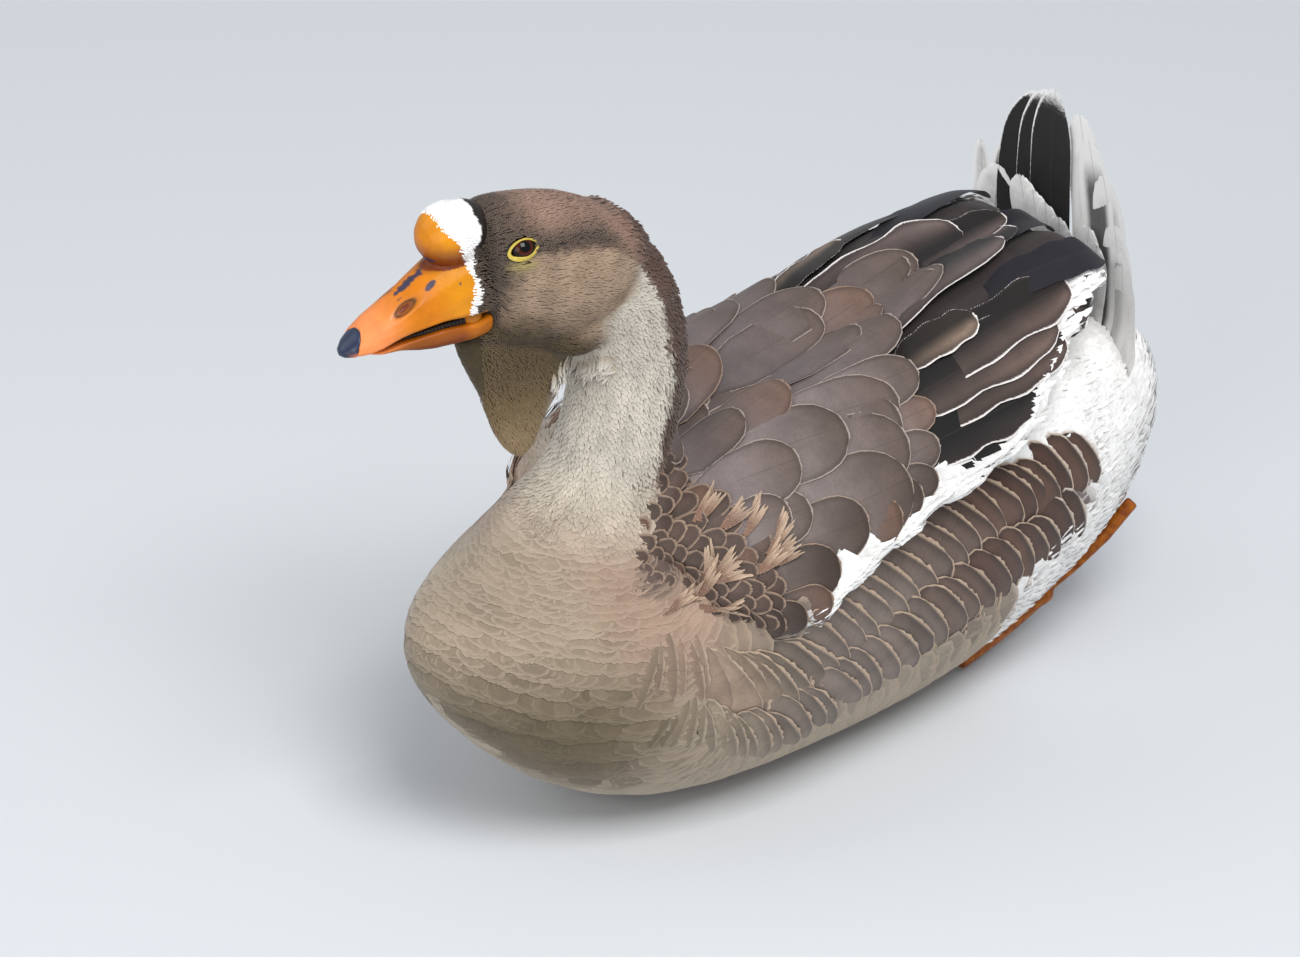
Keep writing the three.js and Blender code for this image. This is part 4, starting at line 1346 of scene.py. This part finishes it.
def bill():
    gape = [((side * 12.4, -57.0, -8.6), (3.2, 5.0, 3.8)) for side in (1, -1)]
    knob_root = [((0, -50, 33), (14.0, 13.0, 14.5))]
    piece = one_surface("bill_and_knob", ("bill_upper", "knob"), 0.8, 5, swell=0.35, lumps=gape + knob_root)
    p = places(piece.data)
    q = to_head(p)
    x, y, z = q.T
    behind, above = y - NOSTRIL_Y, z - NOSTRIL_Z
    along = behind * NOSTRIL_WAY[0] + above * NOSTRIL_WAY[1]
    over = above * NOSTRIL_WAY[0] - behind * NOSTRIL_WAY[1]
    sides = np.abs(x) > 4
    slit = peak(along / 5.6, over / 1.2) * sides
    lip = peak((along / 7.4) ** 2, np.abs(over) - 2.6) * sides
    # Line of the crease where the knob meets the bill, darkened below as painted shade.
    knob_crease_shade = peak((z - 22.5 - 0.12 * (y + 60)) / 1.6) * smooth(-y, 50, 56)
    normal = unit(np.stack([np.sign(x) * 0.85, 0 * x, 0.5 + 0 * x], -1)) @ HEAD_AXES.T
    p = p + normal * (0.35 * lip - 2.4 * slit)[:, None]
    p = p + (mouth_arch(y) * 3.0 * smooth(-z, -1, 6))[:, None] * HEAD_AXES[:, 2]
    put_places(piece.data, p)
    tone = mix(ORANGE, PINK_ORANGE, smooth(-y, 86, 110))
    tone = mix(tone, YELLOW_ORANGE, 0.7 * smooth(y, -80, -64))
    # Painted shade: the knob's underside and the crease where the knob meets the bill turn deep orange.
    knob_underside_shade = smooth(-z, -38, -25) * (z > 20) * (y < -50)
    tone = mix(tone, DEEP_ORANGE, np.minimum(1, 0.75 * knob_crease_shade + knob_underside_shade))
    tone = mix(tone, DEEP_ORANGE, 0.5 * smooth(-z, 1, 5) * smooth(y, -80, -62))
    wobble = 0.5 * ripple(q, 7.0) + 0.35 * ripple(q, 3.1, 2.0)
    ridge_blotch = peak(x / 3.4) * peak(((y + 83) / 10) ** 2) * (z < 23) + 0.5 * wobble
    oval_height = 15.3 + 0.5 * (y + 75.8)
    side_oval = peak((y + 75.8) / 4.2, (z - oval_height) / 1.6) * (np.abs(x) > 6)
    over_nostril = peak(along / 6.5, (over - 3.4) / 1.3) * sides + 0.3 * wobble
    dots = sum(np.exp(-((y - a) ** 2 + (z - b) ** 2) / 0.9) for a, b in ((-63.9, 20.5), (-62.5, 13.3)))
    chin_of_knob = 1.4 * peak((y + 73.0) / 3.0, (z - 25.5) / 2.0) * (np.abs(x) < 8)
    marks = np.maximum.reduce([ridge_blotch * (z > 8), side_oval * 1.1, over_nostril, dots, chin_of_knob])
    tone = mix(tone, BLOTCH, 0.97 * smooth(marks, 0.55, 0.72))
    tone = mix(tone, NOSTRIL_RED, smooth(slit, 0.3, 0.8))
    rim = np.hypot(along / 6.4, over / 1.6)
    tone = mix(tone, BLACK_BROWN, 0.9 * peak((rim - 0.9) / 0.22) * sides)
    start, end = band_edges(q)
    tone = mix(tone, WHITE, smooth(y - start, -0.2, 0.4) * (z > -4))
    tone = mix(tone, BLACK_BROWN, smooth(y - end, -0.2, 0.4) * (z > -4))
    painted(piece, tone, "bill_skin", 0.4, ("bill_upper", "knob"), coat=0.06)

    lower = one_surface("lower_bill", ("bill_lower",), 0.8, 3)
    q = to_head(places(lower.data))
    q[:, 0] *= 1.0 + 0.15 * smooth(-q[:, 1], 40, 60)
    q[:, 2] += mouth_arch(q[:, 1]) * 2.4 * smooth(q[:, 2], -18, -12)
    put_places(lower.data, from_head(q))
    tone = mix(DEEP_ORANGE, PINK_ORANGE, smooth(-q[:, 1], 90, 108))
    tone = mix(tone, ORANGE, 0.3 * smooth(q[:, 2], -17, -12))
    tone = mix(tone, ORANGE, 0.7 * smooth(q[:, 1], -66, -56))
    painted(lower, tone, "lower_bill_skin", 0.4, ("bill_lower",))

    # A lining in the gap between the bill's halves: near-black painted shade inside the mouth, crossed by
    # combs for the lamellae.
    lining = one_surface("mouth_lining", ("bill_lower",), 0.9, 3, swell=-0.7)
    q = to_head(places(lining.data))
    q[:, 0] *= 1.06
    q[:, 1] = np.minimum(q[:, 1], -54)
    q[:, 2] = np.minimum(q[:, 2] + 5.6, -5.0)
    combs = np.sin(q[:, 1] * 2 * math.pi / 1.9) > 0.2
    put_places(lining.data, from_head(q))
    tone = np.where(combs[:, None], COMB, MOUTH_SHADE)
    painted(lining, tone, "mouth_shade_and_combs", 0.5, ())

    nail = one_surface("nail", ("bill_nail",), 0.6, 4)
    q = to_head(places(nail.data))
    tone = mix(BLUE_BLACK, PINK_ORANGE, smooth(-q[:, 2], 6, 9.5) * smooth(q[:, 1], -123, -118))
    painted(nail, tone, "nail_horn", 0.3, ("bill_nail",), coat=0.2)


bill()


# ---- eyes ----
GAZE = unit(np.array([0.80, -0.06, 0.59]))      # the way the left eye looks, in the head's frame
PUPIL, IRIS = (21.0, 23.0), (33.0, 39.0)        # angles from there at which the pupil and the rust ring end
LID_RING = 6.0                                  # radius that the eyelid is spun at
BLACK = (0.002, 0.002, 0.002, 1)


def turned(direction, side):
    """Turn that takes +Z to a direction given for the left eye, for the eye on one side."""
    out = Vector(direction * np.array([side, 1, 1]))
    rear = Vector((0.0, 1.0, 0.0))
    rear = (rear - out * rear.dot(out)).normalized()
    axes = Matrix((rear, out.cross(rear), out)).transposed()
    return HEAD_TURN @ axes


def iris_finish():
    f = Finish("eye", 0.05, specular=0.16, coat=0.16)
    ring = f.attribute("Ring").outputs["Fac"]
    rays = f.noise(f.objects(), 1500.0, 3.0)
    rust = f.blend(rays, (*colour("#2a0d03"), 1), (*colour("#54200a"), 1))
    iris = f.blend(f.step(ring, *IRIS), rust, (*colour("#160a06"), 1))
    return f.paint(f.blend(f.step(ring, *PUPIL, 1.0, 0.0), iris, BLACK))


def eyelid_mesh(name, side):
    """A thin almond-shaped rim, spun as a ring and then drawn out towards both corners of the eye."""
    bm = bmesh.new()
    rim = bmesh.ops.create_circle(bm, segments=10, radius=1.0)["verts"]
    bmesh.ops.rotate(bm, verts=rim, cent=(0, 0, 0), matrix=Matrix.Rotation(math.radians(90), 3, "X"))
    bmesh.ops.translate(bm, verts=rim, vec=(LID_RING, 0, 0))
    bmesh.ops.spin(bm, geom=bm.verts[:] + bm.edges[:], cent=(0, 0, 0), axis=(0, 0, 1), angle=2 * math.pi,
                   steps=48, use_merge=True)
    bmesh.ops.remove_doubles(bm, verts=bm.verts, dist=1e-4)
    bmesh.ops.recalc_face_normals(bm, faces=bm.faces)
    socket = turned(unit(SOCKET), side)
    middle = Vector(from_head(OPENING * np.array([side, 1, 1]))) * MM
    for vert in bm.verts:
        turn = math.atan2(vert.co.y, vert.co.x)
        aside, tall = math.hypot(vert.co.x, vert.co.y) - LID_RING, vert.co.z
        rear, up = math.cos(turn), math.sin(turn) * side
        thick = 0.45 + 0.35 * abs(rear) + 0.5 * max(0.0, -up - 0.5 * rear)
        long = 7.0 + 0.9 * abs(rear) ** 6 + aside * thick
        high = (4.3 if up > 0 else 5.0) + aside * thick
        flat = Vector((rear * long, up * high - 0.5 * max(0.0, -rear) ** 3, 0.0))
        reach = min(math.hypot(rear * long, up * high), EYE_RADIUS)
        bulge = max(0.35, math.sqrt(EYE_RADIUS ** 2 - reach ** 2) - 4.15)
        flat.z = tall * 0.55 + bulge
        vert.co = middle + socket @ Vector((flat.x, flat.y * side, flat.z)) * MM
    if side < 0:
        bmesh.ops.recalc_face_normals(bm, faces=bm.faces)
    mesh = finished(name, bm)
    shade_smooth(mesh)
    return mesh


def eyes():
    shine = iris_finish()
    lid_tone = Finish("eyelid", 0.5, specular=0.4)
    wrinkle = lid_tone.noise(lid_tone.objects(), 1400.0, 3.0)
    lid_tone.bump(wrinkle, 0.5, 0.15)
    lid_tone.paint(lid_tone.blend(wrinkle, (*colour("#a5882a"), 1), (*colour("#e2cf62"), 1)))
    for side, name in ((1, "left"), (-1, "right")):
        centre = Vector(from_head(EYE * np.array([side, 1, 1]))) * MM
        bm = bmesh.new()
        bmesh.ops.create_uvsphere(bm, u_segments=48, v_segments=32, radius=EYE_RADIUS * MM)
        for vert in bm.verts:
            vert.co = centre + vert.co
        mesh = finished(f"eyeball_{name}", bm)
        aim = HEAD_AXES @ (GAZE * np.array([side, 1, 1]))
        ring = np.degrees(np.arccos(np.clip(unit(places(mesh) - np.array(centre) / MM) @ aim, -1, 1)))
        store(mesh, "Ring", ring)
        shade_smooth(mesh)
        mesh.materials.append(shine)
        ride(add_object(f"eyeball_{name}", mesh), (f"eye_{name}",))
        mesh = eyelid_mesh(f"eyelid_{name}", side)
        mesh.materials.append(lid_tone.material)
        ride(add_object(f"eyelid_{name}", mesh))


eyes()


# ---- legs and feet ----
def feet():
    for side in ("left", "right"):
        piece = one_surface(f"foot_and_shank_{side}", (f"leg_{side}", f"foot_{side}"), 1.2, 3)
        p = places(piece.data)
        tone = mix(np.broadcast_to(ORANGE * 0.8, p.shape), DEEP_ORANGE * 0.8, 0.6 + 0.4 * ripple(p, 6.0))
        painted(piece, tone, f"foot_scales_{side}", 0.5, (f"leg_{side}", f"foot_{side}"), 500.0, 0.4)


feet()


# ---- floor, lights, camera ----
FLOOR_HALF, FLOOR_GREY = 30.0, (0.66, 0.68, 0.70, 1)            # lengths here are in metres
SKY, SKY_STRENGTH = (0.9, 0.94, 1.0, 1), 0.5
LIGHT_AIM = Vector((0, 0, 0.15))
# Square lamps: name, place, size and watts.
LAMPS = (("key", (1.7, -0.5, 3.0), 1.6, 84), ("fill", (-2.2, -2.4, 2.2), 2.4, 22),
         ("front", (1.2, -3.0, 1.4), 2.0, 31))
CAMERA_PLACE = Vector((2.0633, -1.8183, 1.7231))
CAMERA_LOOKS = Vector((-0.6634, 0.5567, -0.5))
FOCAL_LENGTH = 170.4


def aimed(name, data, place, direction):
    """A lamp or camera at a place, looking in a direction."""
    thing = add_object(name, data)
    thing.location = place
    thing.rotation_euler = direction.to_track_quat("-Z", "Y").to_euler()
    return thing


def studio():
    bm = bmesh.new()
    bmesh.ops.create_grid(bm, x_segments=1, y_segments=1, size=FLOOR_HALF)
    mesh = finished("floor", bm)
    f = Finish("pale_floor", 0.9, specular=0.1)
    f.shader.inputs["Base Color"].default_value = FLOOR_GREY
    mesh.materials.append(f.material)
    add_object("floor", mesh)
    scene = bpy.context.scene
    scene.world = bpy.data.worlds.new("studio")
    scene.world.use_nodes = True
    sky = scene.world.node_tree.nodes["Background"]
    sky.inputs["Color"].default_value = SKY
    sky.inputs["Strength"].default_value = SKY_STRENGTH
    for name, place, size, watts in LAMPS:
        lamp = bpy.data.lights.new(name, "AREA")
        lamp.size = size
        lamp.energy = watts
        aimed(name, lamp, place, LIGHT_AIM - Vector(place))
    lens = bpy.data.cameras.new("camera")
    lens.lens = FOCAL_LENGTH
    lens.clip_end = 100
    scene.camera = aimed("camera", lens, CAMERA_PLACE, CAMERA_LOOKS)
    scene.view_settings.view_transform = "Standard"


studio()
